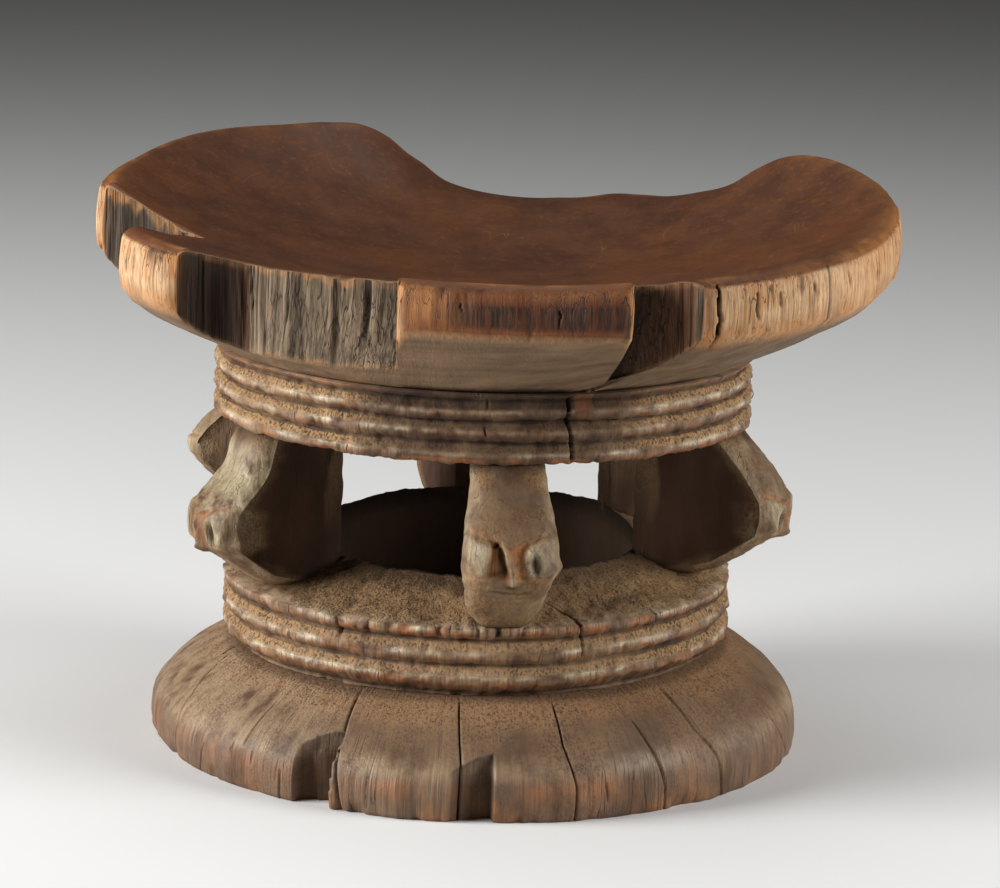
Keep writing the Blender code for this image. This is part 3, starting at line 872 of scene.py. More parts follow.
def strutShape(row, column, meets, stands, hollowed, lift, skew, hand, top):
    columns, rows, caps = strut["columns"], strut["rows"], strut["capRows"]
    around = (column % columns) / columns
    half = np.abs(around - 0.5) * 2  # 1 at the well, 0 in the middle of the face
    side = np.where(around < 0.5, 1.0, -1.0)
    share = 1 - np.clip((row - caps) / (rows - 2 * caps), 0, 1)
    closing = np.clip(np.minimum(row, rows - row) / caps, 0, 1)
    edge = (ringHigh.z - ring["sillRise"]) * 1000
    level = (top - edge) * share
    settles = (33, 48) if lift > 0 else (44, 60)
    seen = level - lift * ease(level, 1, 20) * fade(level, *settles)  # the head's own levels
    chin = strut["chin"]
    front = np.where(
        seen < chin,
        meets + (strut["front"][chin] - meets) * np.clip(seen / chin, 0, 1) ** 0.9,
        curveThrough(np.maximum(seen, chin), strut["front"]),
    )
    front = front + stands * ease(seen, 2, 20) * fade(seen, 50, 60)
    front = front - hollowed * bump(seen, 47, 8)
    wide = curveThrough(seen, strut["width"]) / 2
    cheek, inner, well = strut["cheekDepth"], strut["innerWidth"] / 2, wellRadius * 1000
    # round the section: the face, then a flat side, then the narrow inner edge
    faceEnd, sideEnd = 0.64, 0.91
    faceTurn = np.clip(half / faceEnd, 0, 1) * math.pi / 2
    across = wide * np.sin(faceTurn)
    fullness = 4.2 + 1.2 * ease(seen, 40, 50)
    out = front - cheek * np.sin(faceTurn) ** fullness
    back = np.clip((half - faceEnd) / (sideEnd - faceEnd), 0, 1)
    onSide = half > faceEnd
    bevel = strut["bevel"] * np.clip((back - 0.76) / 0.24, 0, 1)
    across = np.where(onSide, wide + (inner - wide) * back**0.6 - bevel, across)
    out = np.where(onSide, (front - cheek) + (well - front + cheek) * back, out)
    knob = 1.8 * bump(seen, 26.2, 2.8) * (side == hand) * ease(across / wide, 0.6, 1.0)
    across = across + knob * fade(back, 0.0, 0.12)
    rounded = (inner - bevel) * (1 - (half - sideEnd) / (1 - sideEnd))
    across = np.where(half > sideEnd, rounded, across) * side
    faceShare = fade(np.abs(across) / wide, 0.86, 1.0) * np.where(onSide, 0, 1)
    carving = np.array(faceRelief(across * hand - skew, seen)) * faceShare
    out = out + carving[0] * ease(seen, 9, 13)
    middle = (front + well) / 2
    out = middle + (out - middle) * closing
    across = across * closing
    inwards = np.clip((np.hypot(out, across) - well) / (93.5 - well), 0, 1)
    low = edge + ring["sillRise"] * 1000 * (1 - inwards) + 0.1
    height = low + (top - low) * share
    return out, across, height, seen, carving, np.where(onSide, back, -1.0), closing, low, wide


def makeStrut(node, values, seed):
    turnedTo, *shape, bleachedAndLit = values
    name = "carvedStrut" + node[len("strut"):].title().replace("_", "")
    piece, row, column = wrapPiece(name, strut["columns"], strut["rows"])
    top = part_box(node)[1].z * 1000
    turn = math.radians(turnedTo)

    def toSpots(out, across, height):
        x = drumX + across * math.cos(turn) + out * math.sin(turn)
        y = across * math.sin(turn) - out * math.cos(turn)
        lean = tilt(turnedTo, ring["lean"]) * fade(height, footHigh.z + 0.03, top / 1000 - 0.01)
        return np.column_stack((x, y, height + lean))

    setSpots(piece, toSpots(*np.array(strutShape(row, column, *shape, top)[:3]) / 1000))
    row, column = closeMesh(piece, row, column % strut["columns"])
    out, across, height, seen, carving, back, closing, low, wide = strutShape(row, column, *shape, top)
    spots = getSpots(piece)
    onSide = back >= 0
    free = closing * ease(height, low + 1, low + 4) * fade(height, top - 2.5, top - 0.5)
    facets = 0.00045 * roughness(spots, 0.009, seed + 3, 2)
    facets = facets + 0.00024 * roughness(spots, (0.0026, 0.0026, 0.005), seed + 7, 2)
    carve(piece, free * facets)
    cut, grey, between, eye = carving
    joint = np.maximum(ease(height, top - 4, top - 0.5), fade(height, low + 0.3, low + 3))
    # painted shade in the eyes and under the nose goes in with the dirt
    dirtAndShade = np.maximum.reduce([0.80 * eye, 0.5 * joint, 0.5 * ease(-cut, 0.5, 1.4) * (seen < 21)])
    patchy = roughness(spots, 0.006, seed + 9, 2)
    pits = ease(roughness(spots, (0.0016, 0.0016, 0.0028), seed + 11, 2), 0.45, 1.0)
    # the cheek's plate runs on round the side, and the corner by the well is painted lighter, as lit
    plateEnd = (0.05 + 0.17 * bleachedAndLit) * ease(seen, 19, 24) * fade(seen, 33, 39)
    fromFace = back - plateEnd
    # painted light along the inner edge by the well
    paintedLitEdge = ease(back + 0.03 * patchy, 0.77, 0.81) * ease(height, low + 8, top - 8)
    edges = ease(np.abs(across) / wide, 0.72, 0.98)
    crest = np.maximum(0.8 * grey, 0.42 * edges) * (0.8 + 0.5 * patchy)
    # the forehead's top is paler: partly bleaching, partly painted light from the lamp on the left
    crest = np.maximum(crest, bleachedAndLit * ease(seen, 34, 39) * fade(height, top - 9, top - 2))
    sidePlate = 0.5 * ease(plateEnd, 0.0, 0.04) * fade(fromFace, -0.02, 0.04)
    crest = np.where(onSide, sidePlate, crest)
    warm = 0.9 * between * (0.8 + 0.5 * patchy) + 0.22 * ease(patchy, 0.1, 0.8) * (1 - grey)
    warm = np.where(onSide, 0, warm)
    nearTop = ease(height, top - 11, top - 2)
    # painted shadow in the middle of the forehead's top
    foreheadShadow = (0.22 + 0.35 * ease(seen, 47, 52)) * bump(across, 0, 8) * ease(seen, 36, 41)
    sootAndShade = np.maximum(foreheadShadow * (1 + 0.8 * patchy), (0.25 + 0.35 * nearTop) * pits)
    # the sides darken towards the well: partly soot, partly painted shade
    sideSootAndShade = 0.30 + 0.63 * ease(fromFace + 0.06 * patchy, 0.0, 0.16)
    sideSootAndShade = sideSootAndShade + 0.12 * roughness(spots, (0.007, 0.007, 0.03), seed + 13, 2)
    sideSootAndShade = sideSootAndShade * strut["sideSootAndShade"].get(node, 1.0) * (1 - 0.9 * paintedLitEdge)
    sootAndShade = np.where(onSide, sideSootAndShade, sootAndShade * (1 - 0.6 * np.maximum(grey, bleachedAndLit)))
    dust = 0.45 * (1 - bleachedAndLit) * ease(patchy, -0.5, 0.6) + 0.5 * fade(height, low + 1, low + 7)
    dust = dust + 0.4 * nearTop * ease(np.abs(across), 3, 9)
    sideDust = np.maximum(0.7 * fade(fromFace + 0.05 * patchy, 0.0, 0.10), 0.5 * paintedLitEdge)
    dust = np.where(onSide, sideDust, dust)
    paint(piece, "tone", dirtAndShade, crest, dust)
    paint(piece, "shade", warm, sootAndShade, np.full(len(row), 0.4))
    layGrain(piece, spots)
    finishPiece(piece, strutWood, "strut_wood", node)


for order, (node, values) in enumerate(strut["each"].items()):
    makeStrut(node, values, 200 + 40 * order)


# dished seat, split and broken along its front rim
seat = {
    "squareness": 2.6,
    "rimHeights": {  # station round the rim in degrees: height in mm
        0: 202, 14: 205, 26: 209, 36: 212, 46: 214.3, 54: 213.5, 58: 211, 62: 206.5, 66: 200.5, 73: 195,
        78: 192.4, 82: 192.2, 85.5: 191.8, 89: 189.4, 92: 188, 98: 188.5, 102: 190.6, 105: 193.5, 108: 199,
        111: 203.5, 114: 209, 119: 214, 126: 215, 136: 214.2, 146: 213.9, 156: 213.1, 168: 211, 180: 208.2,
        190: 205.6, 208: 199.4, 228: 193, 248: 189.2, 266: 188.9, 280: 189.3, 294: 191.6, 305: 192.8,
        316: 195, 336: 198.5,
    },
    "rimThickness": {  # station: height of the rim's face in mm
        0: 21.3, 50: 21, 90: 18, 150: 20.8, 178: 23, 192: 25, 205: 23.4, 228: 22.5, 250: 20, 270: 17,
        292: 18, 312: 21.5, 340: 21.8,
    },
    "dishHeight": 0.1743,
    "dishCurve": 2.2,
    "belly": 0.003,
    "landing": 0.0975,
    "edge": 0.0052,
    "topRows": 30,
    "roundRows": 7,
    "wallRows": 24,
    "underRows": 22,
    "landingRows": 3,
    "rimPitch": 0.00140,
    "splitPitch": 0.00050,
    # drying cracks down the rim's face: station, width in mm, start and end as shares of it, depth in mm
    "rimCracks": [
        (308.0, 1.8, -0.05, 1.15, 3.2), (315.2, 1.0, 0.0, 0.80, 2.0), (319.8, 0.9, 0.08, 0.60, 1.6),
        (328.0, 1.0, 0.0, 0.42, 1.8), (338.4, 1.1, 0.0, 0.50, 1.8), (350.0, 0.8, 0.2, 0.7, 1.2),
        (7.0, 0.9, 0.1, 0.7, 1.4), (24.0, 1.0, 0.0, 0.8, 1.8), (49.0, 0.9, 0.0, 0.6, 1.6),
        (77.0, 1.2, 0.0, 0.9, 2.2), (112.0, 1.0, 0.1, 0.8, 1.8), (139.0, 1.2, 0.0, 0.9, 2.2),
        (161.0, 0.9, 0.0, 0.6, 1.6), (183.0, 0.9, 0.1, 0.7, 1.4), (226.4, 0.7, 0.1, 0.6, 1.0),
        (273.0, 0.8, 0.05, 0.5, 1.4), (284.0, 0.9, 0.2, 0.8, 1.4),
    ],
    # the slot at the left end, in m from its back corner
    "slot": [(0.006, -0.0012), (0.020, -0.0045), (0.036, -0.0095), (0.047, -0.013)],
    "crackTurn": 6.5,  # the crack under the tab drifts by these degrees before it meets the drum
}
seatMidX, seatMidY = (seatLow.x + seatHigh.x) / 2, (seatLow.y + seatHigh.y) / 2
seatHalfX, seatHalfY = (seatHigh.x - seatLow.x) / 2, (seatHigh.y - seatLow.y) / 2
axisX = drumX - seatMidX  # the drum's axis, from the seat's middle
endTop = seat["topRows"]
endRound = endTop + seat["roundRows"]
endWall = endRound + seat["wallRows"]
endUnder = endWall + seat["underRows"]


def rimPoint(station, inset=0.0):
    turn = np.radians(station)
    power = 2 / seat["squareness"]
    x = seatHalfX * np.sign(np.cos(turn)) * np.abs(np.cos(turn)) ** power
    y = seatHalfY * np.sign(np.sin(turn)) * np.abs(np.sin(turn)) ** power
    reach = np.hypot(x, y)
    return np.stack((x * (1 - inset / reach), y * (1 - inset / reach)), axis=-1)


notchCorner = rimPoint(296.5, 0.0118)  # the crack under the tab starts here


def brokenLine(*stops, flag=1):
    return np.array([rimPoint(station, depth / 1000) for station, depth in stops]), flag


def seatOutline():
    # the rim as it is now, seen from above: 0 where whole, 1 where broken, between them worn round corners
    corner = 0.4

    def whole(start, end):
        return rimPoint(np.linspace(start, end, int((end - start) * 6))), 0

    slot = [rimPoint(194.0) + step for step in seat["slot"]]
    apex, lobeIn = slot[-1], rimPoint(219.8, 0.0150)
    slot.append(apex + (-0.003, -0.003))
    stretches = [
        whole(305.0, 360 + 192.2),
        brokenLine((193.1, 0.5), (193.7, 1.8), (194.0, 3.6), flag=corner),
        (np.array(slot), 1),
        (np.array([slot[-1], apex * 0.45 + lobeIn * 0.55, lobeIn]), 1),
        brokenLine((219.7, 8.0), (219.9, 3.0), (220.3, 0.8), flag=corner),
        whole(220.8, 234.4),
        brokenLine((235.4, 0.8), (236.2, 3.0), flag=corner),
        brokenLine((237.4, 9.0), (239.0, 17.0), (242.0, 20.5), (247, 19.5), (252, 17.8)),
        brokenLine((258, 17.0), (264, 16.5), (267.8, 16.5), (268.4, 9.0)),
        brokenLine((268.7, 3.0), (269.1, 1.0), flag=corner),
        whole(269.6, 292.9),
        brokenLine((293.9, 0.8), (294.7, 2.6), flag=corner),
        brokenLine((295.2, 6.0), (296.5, 11.8), (299.0, 12.4), (302.0, 8.6), (304.0, 3.6)),
    ]
    line = np.concatenate([points for points, _ in stretches])
    broken = np.concatenate([np.full(len(points), flag) for points, flag in stretches])
    keep = np.append(True, np.hypot(*np.diff(line, axis=0).T) > 1e-6)
    line, broken = line[keep], broken[keep]
    line, broken = np.vstack((line, line[:1])), np.append(broken, broken[0])
    gaps = np.hypot(*np.diff(line, axis=0).T)
    splitGap = np.maximum(broken[1:], broken[:-1])
    pitch = np.where(splitGap > 0, seat["splitPitch"], seat["rimPitch"])
    for station, *_ in seat["rimCracks"]:  # finer beside each crack
        away = np.hypot(*((line[1:] + line[:-1]) / 2 - rimPoint(station)).T)
        pitch = np.minimum(pitch, 0.0003 + 0.25 * away)
    effort = np.concatenate(([0], np.cumsum(gaps / pitch)))
    count = int(round(effort[-1]))
    place = np.arange(count) * effort[-1] / count
    x, y = np.interp(place, effort, line[:, 0]), np.interp(place, effort, line[:, 1])
    gap = np.clip(np.searchsorted(effort, place, side="right") - 1, 0, len(splitGap) - 1)
    isBroken = (splitGap[gap] > 0.5).astype(float)
    for _ in range(14):  # soften the corners
        x = x + 0.4 * ((np.roll(x, 1) + np.roll(x, -1)) / 2 - x)
        y = y + 0.4 * ((np.roll(y, 1) + np.roll(y, -1)) / 2 - y)
    flat = np.column_stack((x, y, np.zeros(count)))
    ragged = roughness(flat, (0.0045, 0.0045, 1), 297, 2) * isBroken
    reach = np.hypot(x, y)
    x, y = x * (1 + 0.0006 * ragged / reach), y * (1 + 0.0006 * ragged / reach)
    place = rimStation(x, y)
    notch = np.interp(place, (293.9, 296.5, 300.0, 304.5), (0, 1, 0.55, 0)) * isBroken
    front = ease(place, 243, 252) * fade(place, 267, 268.5) * isBroken
    dig = 0.022 * notch - 0.0035 * front  # how much further in the break reaches at the underside
    flat = np.column_stack((x, y, np.zeros(count)))
    chips = ease(roughness(flat, (0.006, 0.006, 1), 298, 2), 0.0, 0.9)
    bite = np.where(isBroken > 0.5, 0.0010 + 0.0022 * chips, seat["edge"])
    for _ in range(12):  # the rounding fades out along the breaks
        bite = 0.5 * bite + 0.25 * (np.roll(bite, 1) + np.roll(bite, -1))
    return x, y, isBroken, dig, bite


def rimStation(x, y):
    power = seat["squareness"] / 2
    up = np.sign(y) * np.abs(y / seatHalfY) ** power
    over = np.sign(x) * np.abs(x / seatHalfX) ** power
    return np.degrees(np.arctan2(up, over)) % 360


def topLevel(x, y):
    # the dish rises to the rim's height where the rounded edge begins
    power = seat["squareness"]
    share = (np.abs(x / seatHalfX) ** power + np.abs(y / seatHalfY) ** power) ** (1 / power)
    share = np.minimum(share / (1 - seat["edge"] / seatHalfY), 1.0)
    station = rimStation(x, y)
    rim = curveThrough(station, seat["rimHeights"], 360) / 1000
    broad = sum(curveThrough(station + turn, seat["rimHeights"], 360) for turn in range(-28, 29, 7)) / 9000
    rim = broad + (rim - broad) * share**5  # the dish follows the rim's rises more softly
    return seat["dishHeight"] + (rim - seat["dishHeight"]) * share ** seat["dishCurve"]


rimTable = rimPoint(np.arange(0, 360, 0.25))
rimReach = np.hypot(rimTable[:, 0] - axisX, rimTable[:, 1])
rimBearing = np.degrees(np.arctan2(rimTable[:, 1], rimTable[:, 0] - axisX)) % 360
rimOrder = np.argsort(rimBearing)


def underLevel(x, y):
    # rises from the drum to the foot of the rim along a line out of the drum's axis
    bearing = np.degrees(np.arctan2(y, x - axisX)) % 360
    reach = np.interp(bearing, rimBearing[rimOrder], rimReach[rimOrder], period=360)
    station = rimStation(np.cos(np.radians(bearing)) * reach + axisX, np.sin(np.radians(bearing)) * reach)
    share = np.clip((np.hypot(x - axisX, y) - seat["landing"]) / (reach - seat["landing"]), 0, 1.05)
    rim = curveThrough(station, seat["rimHeights"], 360) - curveThrough(station, seat["rimThickness"], 360)
    fall = rim / 1000 - seatLow.z
    return seatLow.z + fall * share - seat["belly"] * np.sin(math.pi * np.clip(share, 0, 1)) * share


def seatShape(row, column, outline):
    columns = len(outline[0])
    outX, outY, split, dig, bite = [line[column % columns] for line in outline]
    reach = np.hypot(outX, outY)
    station = rimStation(outX, outY)
    tab = ease(station, 268, 270) * fade(station, 293, 295)
    lower = np.where(split > 0.5, 0.0006, 0.0018 - 0.0012 * tab)  # rounding of the lower edge
    # top: rings from the middle, then the rounded edge
    share = (1 - (1 - np.clip(row / endTop, 0, 1)) ** 1.25) * (1 - bite / reach)
    turn = np.clip((row - endTop) / seat["roundRows"], 0, 1) * math.pi / 2
    share = np.where(row > endTop, 1 - bite * (1 - np.sin(turn)) / reach, share)
    x, y = outX * share, outY * share
    height = topLevel(x, y) - np.where(row > endTop, bite * (1 - np.cos(turn)), 0)
    # the rim's face or the broken face
    wall = np.clip((row - endRound) / seat["wallRows"], 0, 1)
    wallTop = topLevel(outX, outY) - bite
    outReach = np.hypot(outX - axisX, outY)
    bearing = np.arctan2(outY, outX - axisX)
    feetReach = np.maximum(outReach - dig, seat["landing"] + 0.0055)
    feetX, feetY = np.cos(bearing) * feetReach + axisX, np.sin(bearing) * feetReach
    wallFoot = underLevel(feetX, feetY) + lower
    onWall = (row > endRound) & (row <= endWall)
    bulge = np.where(split > 0.5, 0, 0.0008) * np.sin(math.pi * wall)
    height = np.where(onWall, wallTop + (wallFoot - wallTop) * wall, height)
    lean = wall**1.5
    wallX, wallY = outX + (feetX - outX) * lean, outY + (feetY - outY) * lean
    swell = 1 + bulge / reach
    x, y = np.where(onWall, wallX * swell, x), np.where(onWall, wallY * swell, y)
    # underside, back to where the seat leaves the drum
    under = np.clip((row - endWall) / seat["underRows"], 0, 1)
    cornerBearing = np.arctan2(notchCorner[1], notchCorner[0] - axisX)
    nearCrack = fade(np.abs(np.degrees(bearing - cornerBearing)), 2, 15)
    bearing = bearing - np.radians(seat["crackTurn"]) * nearCrack * under
    start = feetReach - lower
    along = start + (np.minimum(seat["landing"], start) - start) * under**0.9
    onUnder = (row > endWall) & (row <= endUnder)
    underX, underY = np.cos(bearing) * along + axisX, np.sin(bearing) * along
    x, y = np.where(onUnder, underX, x), np.where(onUnder, underY, y)
    height = np.where(onUnder, underLevel(underX, underY), height)
    # flat landing on the drum, hidden
    closing = np.clip((row - endUnder) / seat["landingRows"], 0, 1)
    onLanding = row > endUnder
    x = np.where(onLanding, np.cos(bearing) * seat["landing"] * (1 - closing) + axisX, x)
    y = np.where(onLanding, np.sin(bearing) * seat["landing"] * (1 - closing), y)
    height = np.where(onLanding, seatLow.z, height)
    return np.column_stack((x + seatMidX, y + seatMidY, height)), split, wall, under


def strip(along, upright):
    # places on the rim rolled out flat
    return np.column_stack((along, np.zeros_like(along), upright))


def makeSeat():
    outline = seatOutline()
    lineX, lineY = outline[:2]
    columns = len(lineX)
    piece, row, column = wrapPiece("dishedSeat", columns, endUnder + seat["landingRows"])
    setSpots(piece, seatShape(row, column, outline)[0])
    row, column = closeMesh(piece, row, column % columns)
    spots, split, wall, under = seatShape(row, column, outline)
    column = column % columns
    walkLine = walkAlong(np.column_stack((lineX, lineY)))
    walk = walkLine[column]

    def nearest(spot):
        return int(np.argmin(np.hypot(lineX - spot[0], lineY - spot[1])))

    height = spots[:, 2]
    station = rimStation(spots[:, 0] - seatMidX, spots[:, 1] - seatMidY)
    onTop = row <= endTop + np.where(split > 0.5, 3, 4)
    onFace = (row > endTop + 3) & (row <= endWall)
    onUnder = row > endWall
    rimFace = onFace * (1 - split)
    splitFace = ((row > endRound - 2) & (row <= endWall)) * split
    slant = walk + 0.10 * (height - seatLow.z) * roughness(strip(walk, 0 * walk), (0.03, 1, 1), 299)
    fibre = strip(slant, height * 0.05)
    strands = 0.35 * roughness(fibre, (0.0060, 1, 0.004), 301)
    strands = strands + 0.9 * roughness(fibre, (0.0020, 1, 0.003), 303, 2)
    gaps = ease(roughness(fibre, (0.0021, 1, 0.0030), 304), 0.64, 0.88)
    grain = roughness(strip(walk, height * 0.12), (0.0022, 1, 0.0022), 305, 2)
    nicks = ease(roughness(strip(walk, height * 0.22), (0.0034, 1, 0.0042), 306), 0.54, 0.88)
    rimCrack = np.zeros(len(row))
    wander = 0.0007 * roughness(strip(0 * walk, height), (1, 1, 0.005), 325, 2)
    for middle, width, start, end, deep in seat["rimCracks"]:
        away = np.abs(walk + wander - walkLine[nearest(rimPoint(middle))])
        along = ease(wall, start - 0.05, start + 0.10) * fade(wall, end - 0.25, end + 0.02)
        near = fade(away / (width * (0.2 + 0.8 * along)) * 2000, 0.2, 1.0)
        rimCrack = np.maximum(rimCrack, onFace * along * near * deep / 1000)
    shelter = np.sin(math.pi * np.clip(wall, 0.03, 0.97)) ** 0.4
    depth = splitFace * shelter * (0.0006 * strands + 0.0012 * gaps + 0.0003)
    dents = 0.0003 * roughness(spots, 0.012, 307, 2)
    depth = depth + rimFace * (0.00024 * grain + 0.0007 * nicks * shelter + dents)
    waves = 0.0005 * roughness(spots, (0.035, 0.035, 0.5), 309, 2)
    depth = depth + (row < endTop) * ease(row / endTop, 0.02, 0.3) * waves
    free = onUnder * ease(under, 0.0, 0.06) * fade(under, 0.93, 1.0)
    hewn = 0.0005 * roughness(spots, 0.018, 311, 2) + 0.00015 * roughness(spots, 0.004, 313, 2)
    depth = depth + free * hewn
    # the crack under the tab, with the wood to one side of it set back
    beside = (column - nearest(notchCorner) + columns // 2) % columns - columns // 2
    crackLine = np.select([beside == 0, np.abs(beside) == 1], [1.0, 0.6], 0.0)
    crackLine = crackLine * onUnder * fade(under, 0.86, 0.97)
    setBack = onUnder * (beside > 0) * fade(beside, 8, 30)
    setBack = setBack * ease(under, 0.0, 0.1) * fade(under, 0.9, 1.0)
    carve(piece, depth + 0.0035 * crackLine + 0.0012 * setBack + rimCrack)

    # where the finish is worn, dirty or polished, and where shade is painted
    edgeLine = bump(row, endTop + 5.0, 1.5)
    rightEnd = facing(station, 5, 0.55, 0.95)
    border = ease(row, endTop - 3, endTop + 3) * (row <= endTop + 5) * rightEnd
    wear = np.maximum(edgeLine * (0.45 + 0.6 * roughness(spots, 0.012, 315, 2)), 0.5 * border)
    rubbed = bump(row, endTop + 0.5, 1.3) * (0.35 + 0.5 * roughness(spots, 0.010, 329, 2))
    wear = np.maximum(wear, rubbed)
    footLine = bump(row, endWall - 1.0, 1.6) * (1 - split)
    wear = np.maximum(wear, 0.6 * footLine * (0.6 + 0.6 * roughness(spots, 0.010, 317)))
    changes = walkLine[np.flatnonzero(np.diff(outline[2] > 0.5))]
    arris = bump(np.min(np.abs(walk[:, None] - changes), axis=1), 0.0, 0.0022)
    inEnd = ease(station, 190, 194) * fade(station, 217, 219.5)
    ragged = 0.05 + 0.07 * inEnd + (0.03 + 0.05 * inEnd) * roughness(fibre, (0.0028, 1, 1), 323, 2)
    lip = splitFace * np.maximum(fade(wall, 0.4 * ragged, 1.3 * ragged), 0.7 * ease(wall, 0.955, 0.985))
    lip = lip * (0.45 + 0.35 * inEnd + 0.25 * roughness(fibre, (0.0016, 1, 0.002), 327))
    wear = np.maximum.reduce([wear * (1 - split), lip, 0.7 * arris * onFace])
    dirtAndShade = splitFace * np.maximum(0.40 * ease(strands, 0.1, 1.1), 0.90 * gaps)
    dirtAndShade = np.maximum(dirtAndShade, rimFace * np.maximum(0.30 * ease(grain, 0.4, 1.2), 0.8 * nicks))
    # painted shade in the breaks: the hollow beside the lobe, the notch to the right of the tab, and the
    # end split
    hollowDark = np.interp(station, (234.9, 235, 236, 237.5, 240.4, 242.6), (0, 0.3, 0.75, 0.86, 0.84, 0))
    notchDark = np.interp(station, (294, 295.2, 297.0, 300, 303.5, 304.5), (0, 0.97, 0.86, 0.55, 0.2, 0))
    shaded = np.maximum.reduce([hollowDark, notchDark, 0.7 * inEnd])
    dirtAndShade = np.maximum(dirtAndShade, splitFace * shaded * (1 - 0.7 * lip))
    # painted shade on the underside where it meets the drum
    dirtAndShade = np.maximum.reduce([dirtAndShade, crackLine, rimCrack / 0.0020, onUnder * 0.9 * ease(under, 0.9, 1.0)])
    onTab = ease(station, 268.6, 269.8) * fade(station, 293, 295)
    warm = rimFace * onTab
    lowFace = rimFace * ease(wall, 0.5, 1.0)
    warm = np.maximum(warm, 0.45 * lowFace * (0.7 + 0.5 * roughness(spots, 0.008, 319)))
    inBreak = np.maximum(0.6 * (notchDark > 0), 0.5 * (hollowDark > 0))
    warm = np.maximum(warm, splitFace * inBreak * (1 - arris))
    wear = np.maximum(wear, rimFace * 0.65 * ease(wall, 0.60, 1.0) * (1 - onTab))
    wear = wear * (1 - 0.5 * rimFace * onTab * (1 - arris))
    stained = rimFace * (station > 303) * fade(station, 306.5, 310.5)
    warm = np.maximum(warm, stained * (0.55 + 0.4 * grain))
    wear = np.maximum(wear, rimFace * 0.5 * ease(rightEnd, 0.6, 1.0) * (0.5 + 0.5 * grain))
    tabEnd = bump(station, 270.5, 2.0)
    wear = np.maximum(wear, rimFace * 0.7 * tabEnd * (0.6 + 0.5 * grain))
    core = ease(wall, 0.02, 0.22) * fade(wall, 0.72, 0.95) * (1 - arris)
    smoked = 0.90 + 0.10 * ease(roughness(fibre, (0.010, 1, 0.01), 321, 2), -0.4, 0.4)
    sootAndShade = rimFace * onTab * (1 - 0.8 * tabEnd) * core * smoked
    layGrain(piece, spots)
    paint(piece, "tone", dirtAndShade, wear, splitFace * ease(-strands, -0.3, 0.9))
    paint(piece, "zone", onTop, rimFace, splitFace)
    paint(piece, "shade", warm, sootAndShade, np.zeros(len(row)))
    return piece


seatLook = {
    "top": tint(98, 62, 41),
    "topDark": tint(80, 51, 37),
    "topWarm": tint(124, 72, 36),
    "rim": tint(200, 164, 124),
    "rimDark": tint(152, 116, 81),
    "rimWarm": tint(92, 46, 15),
    "rimWorn": tint(184, 125, 72),
    "tabDark": tint(32, 20, 12),
    "split": tint(116, 99, 79),
    "splitDark": tint(72, 59, 46),
    "splitPale": tint(141, 121, 99),
    "under": tint(126, 102, 77),
    "underDark": tint(100, 79, 59),
    "dirtAndShade": tint(25, 17, 12),
    "shine": 0.24,
    "relief": 0.55,
}


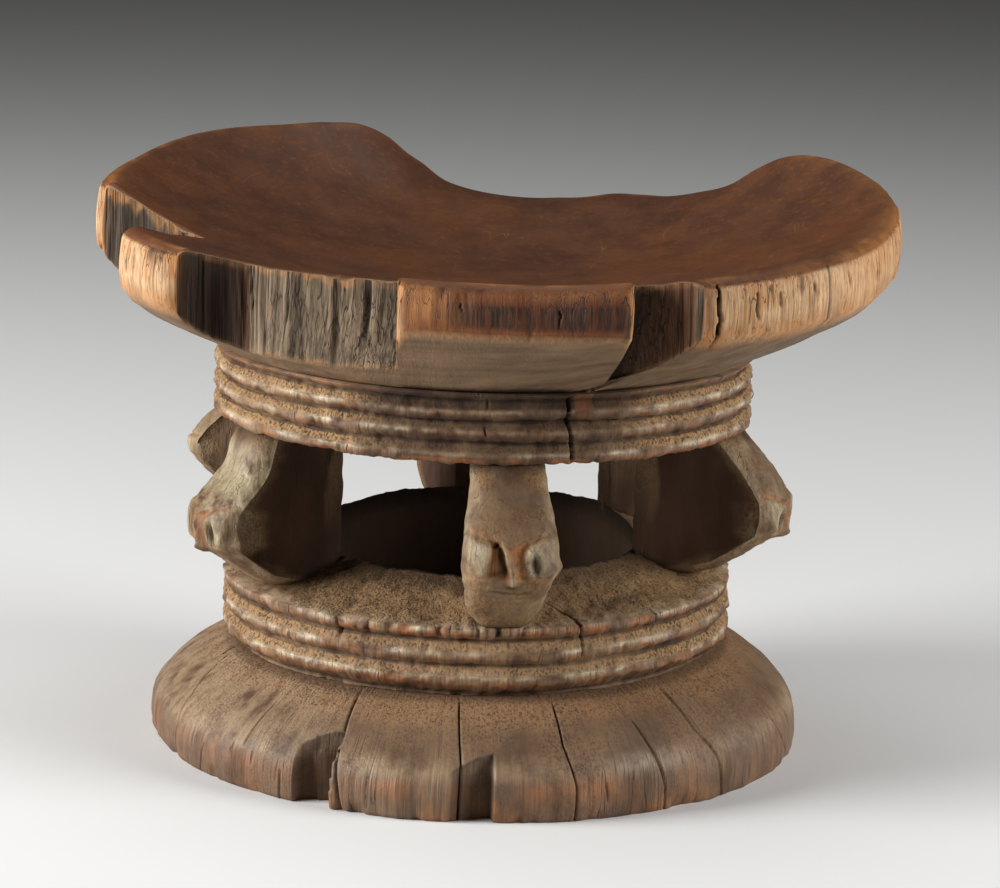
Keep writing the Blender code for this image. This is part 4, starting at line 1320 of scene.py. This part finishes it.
def seatFinish(look):
    # polished dish, pale rim, fibrous breaks and a hewn underside
    material = bpy.data.materials.new("seatWood")
    material.use_nodes = True
    tree = material.node_tree
    shader = tree.nodes["Principled BSDF"]
    shader.inputs["Specular IOR Level"].default_value = look["shine"]
    dirtAndShade, wear, pale = channels(tree, "tone")
    top, rim, split = channels(tree, "zone")
    warm, sootAndShade, _ = channels(tree, "shade")
    mottle = cloud(tree, 60.0, (1, 1, 1), 6.0, 0.62)
    patch = cloud(tree, 13.0, (1, 1, 1), 4.0, 0.55)
    fleck = cloud(tree, 420.0, (1, 1, 1), 3.0, 0.6)
    grain = cloud(tree, 900.0, (1, 1, 0.06), 4.0, 0.65)
    streak = cloud(tree, 220.0, (0.06, 1, 1), 4.0, 0.6)
    fine = hairlines(tree, 480.0, (1, 1, 0.02), 0.016)
    lines = work(tree, "MAXIMUM", hairlines(tree, 260.0, (1, 1, 0.018), 0.018), fine)
    inSplit = times(tree, split, times(tree, lines, spread(tree, mottle, 0.36, 0.56, 0.3, 0.95)))
    inRim = times(tree, rim, times(tree, lines, spread(tree, mottle, 0.46, 0.60, 0.0, 0.85)))
    checks = work(tree, "MAXIMUM", inRim, inSplit)
    crossed = hairlines(tree, 40.0, (1, 0.06, 1), 0.0014, -0.9)
    scratch = work(tree, "MAXIMUM", hairlines(tree, 46.0, (1, 0.05, 1), 0.0016, 0.5), crossed)
    scratch = times(tree, scratch, spread(tree, mottle, 0.50, 0.60, 0.0, 0.5))
    underFace = coats(tree, look["underDark"], look, (spread(tree, streak, 0.36, 0.64), "under"))
    rimFace = coats(
        tree,
        look["rimDark"],
        look,
        (spread(tree, grain, 0.36, 0.58), "rim"),
        (spread(tree, mottle, 0.48, 0.66, 0.0, 0.6), "rimWorn"),
        (spread(tree, mottle, 0.44, 0.34, 0.0, 0.35), "under"),
    )
    splitFace = coats(
        tree,
        look["splitDark"],
        look,
        (spread(tree, grain, 0.38, 0.60), "split"),
        (times(tree, pale, spread(tree, grain, 0.40, 0.62, 0.2, 0.9)), "splitPale"),
    )
    topFace = coats(
        tree,
        look["topDark"],
        look,
        (spread(tree, mottle, 0.36, 0.64), "top"),
        (spread(tree, patch, 0.46, 0.66, 0.0, 0.5), "topWarm"),
        (spread(tree, fleck, 0.56, 0.68, 0.0, 0.5), "topWarm"),
        (spread(tree, fleck, 0.42, 0.32, 0.0, 0.5), "topDark"),
        (scratch, "rimWorn"),
    )
    colour = blend(tree, rim, underFace, rimFace)
    colour = blend(tree, split, colour, splitFace)
    colour = coats(
        tree,
        colour,
        look,
        (times(tree, warm, spread(tree, grain, 0.30, 0.62, 0.92, 1.0)), "rimWarm"),
        (times(tree, sootAndShade, spread(tree, grain, 0.62, 0.42, 0.2, 1.0)), "tabDark"),
    )
    colour = blend(tree, top, colour, topFace)
    colour = coats(
        tree,
        colour,
        look,
        (times(tree, wear, spread(tree, mottle, 0.34, 0.6, 0.2, 1.0)), "rimWorn"),
        (checks, "dirtAndShade"),
        (dirtAndShade, "dirtAndShade"),
    )
    tree.links.new(colour, shader.inputs["Base Color"])
    gloss = spread(tree, mottle, 0.3, 0.7, -0.05, 0.07)
    gloss = work(tree, "ADD", spread(tree, top, 0.0, 1.0, 0.60, 0.46), gloss)
    tree.links.new(total(tree, gloss, (split, 0.25)), shader.inputs["Roughness"])
    height = times(tree, grain, spread(tree, top, 0.0, 1.0, 0.7, 0.0))
    height = total(tree, height, (mottle, 0.25), (checks, -0.8))
    relief(tree, shader, height, look["relief"], 0.0010)
    return material


finishPiece(makeSeat(), seatFinish(seatLook), "seat_wood", "seat")
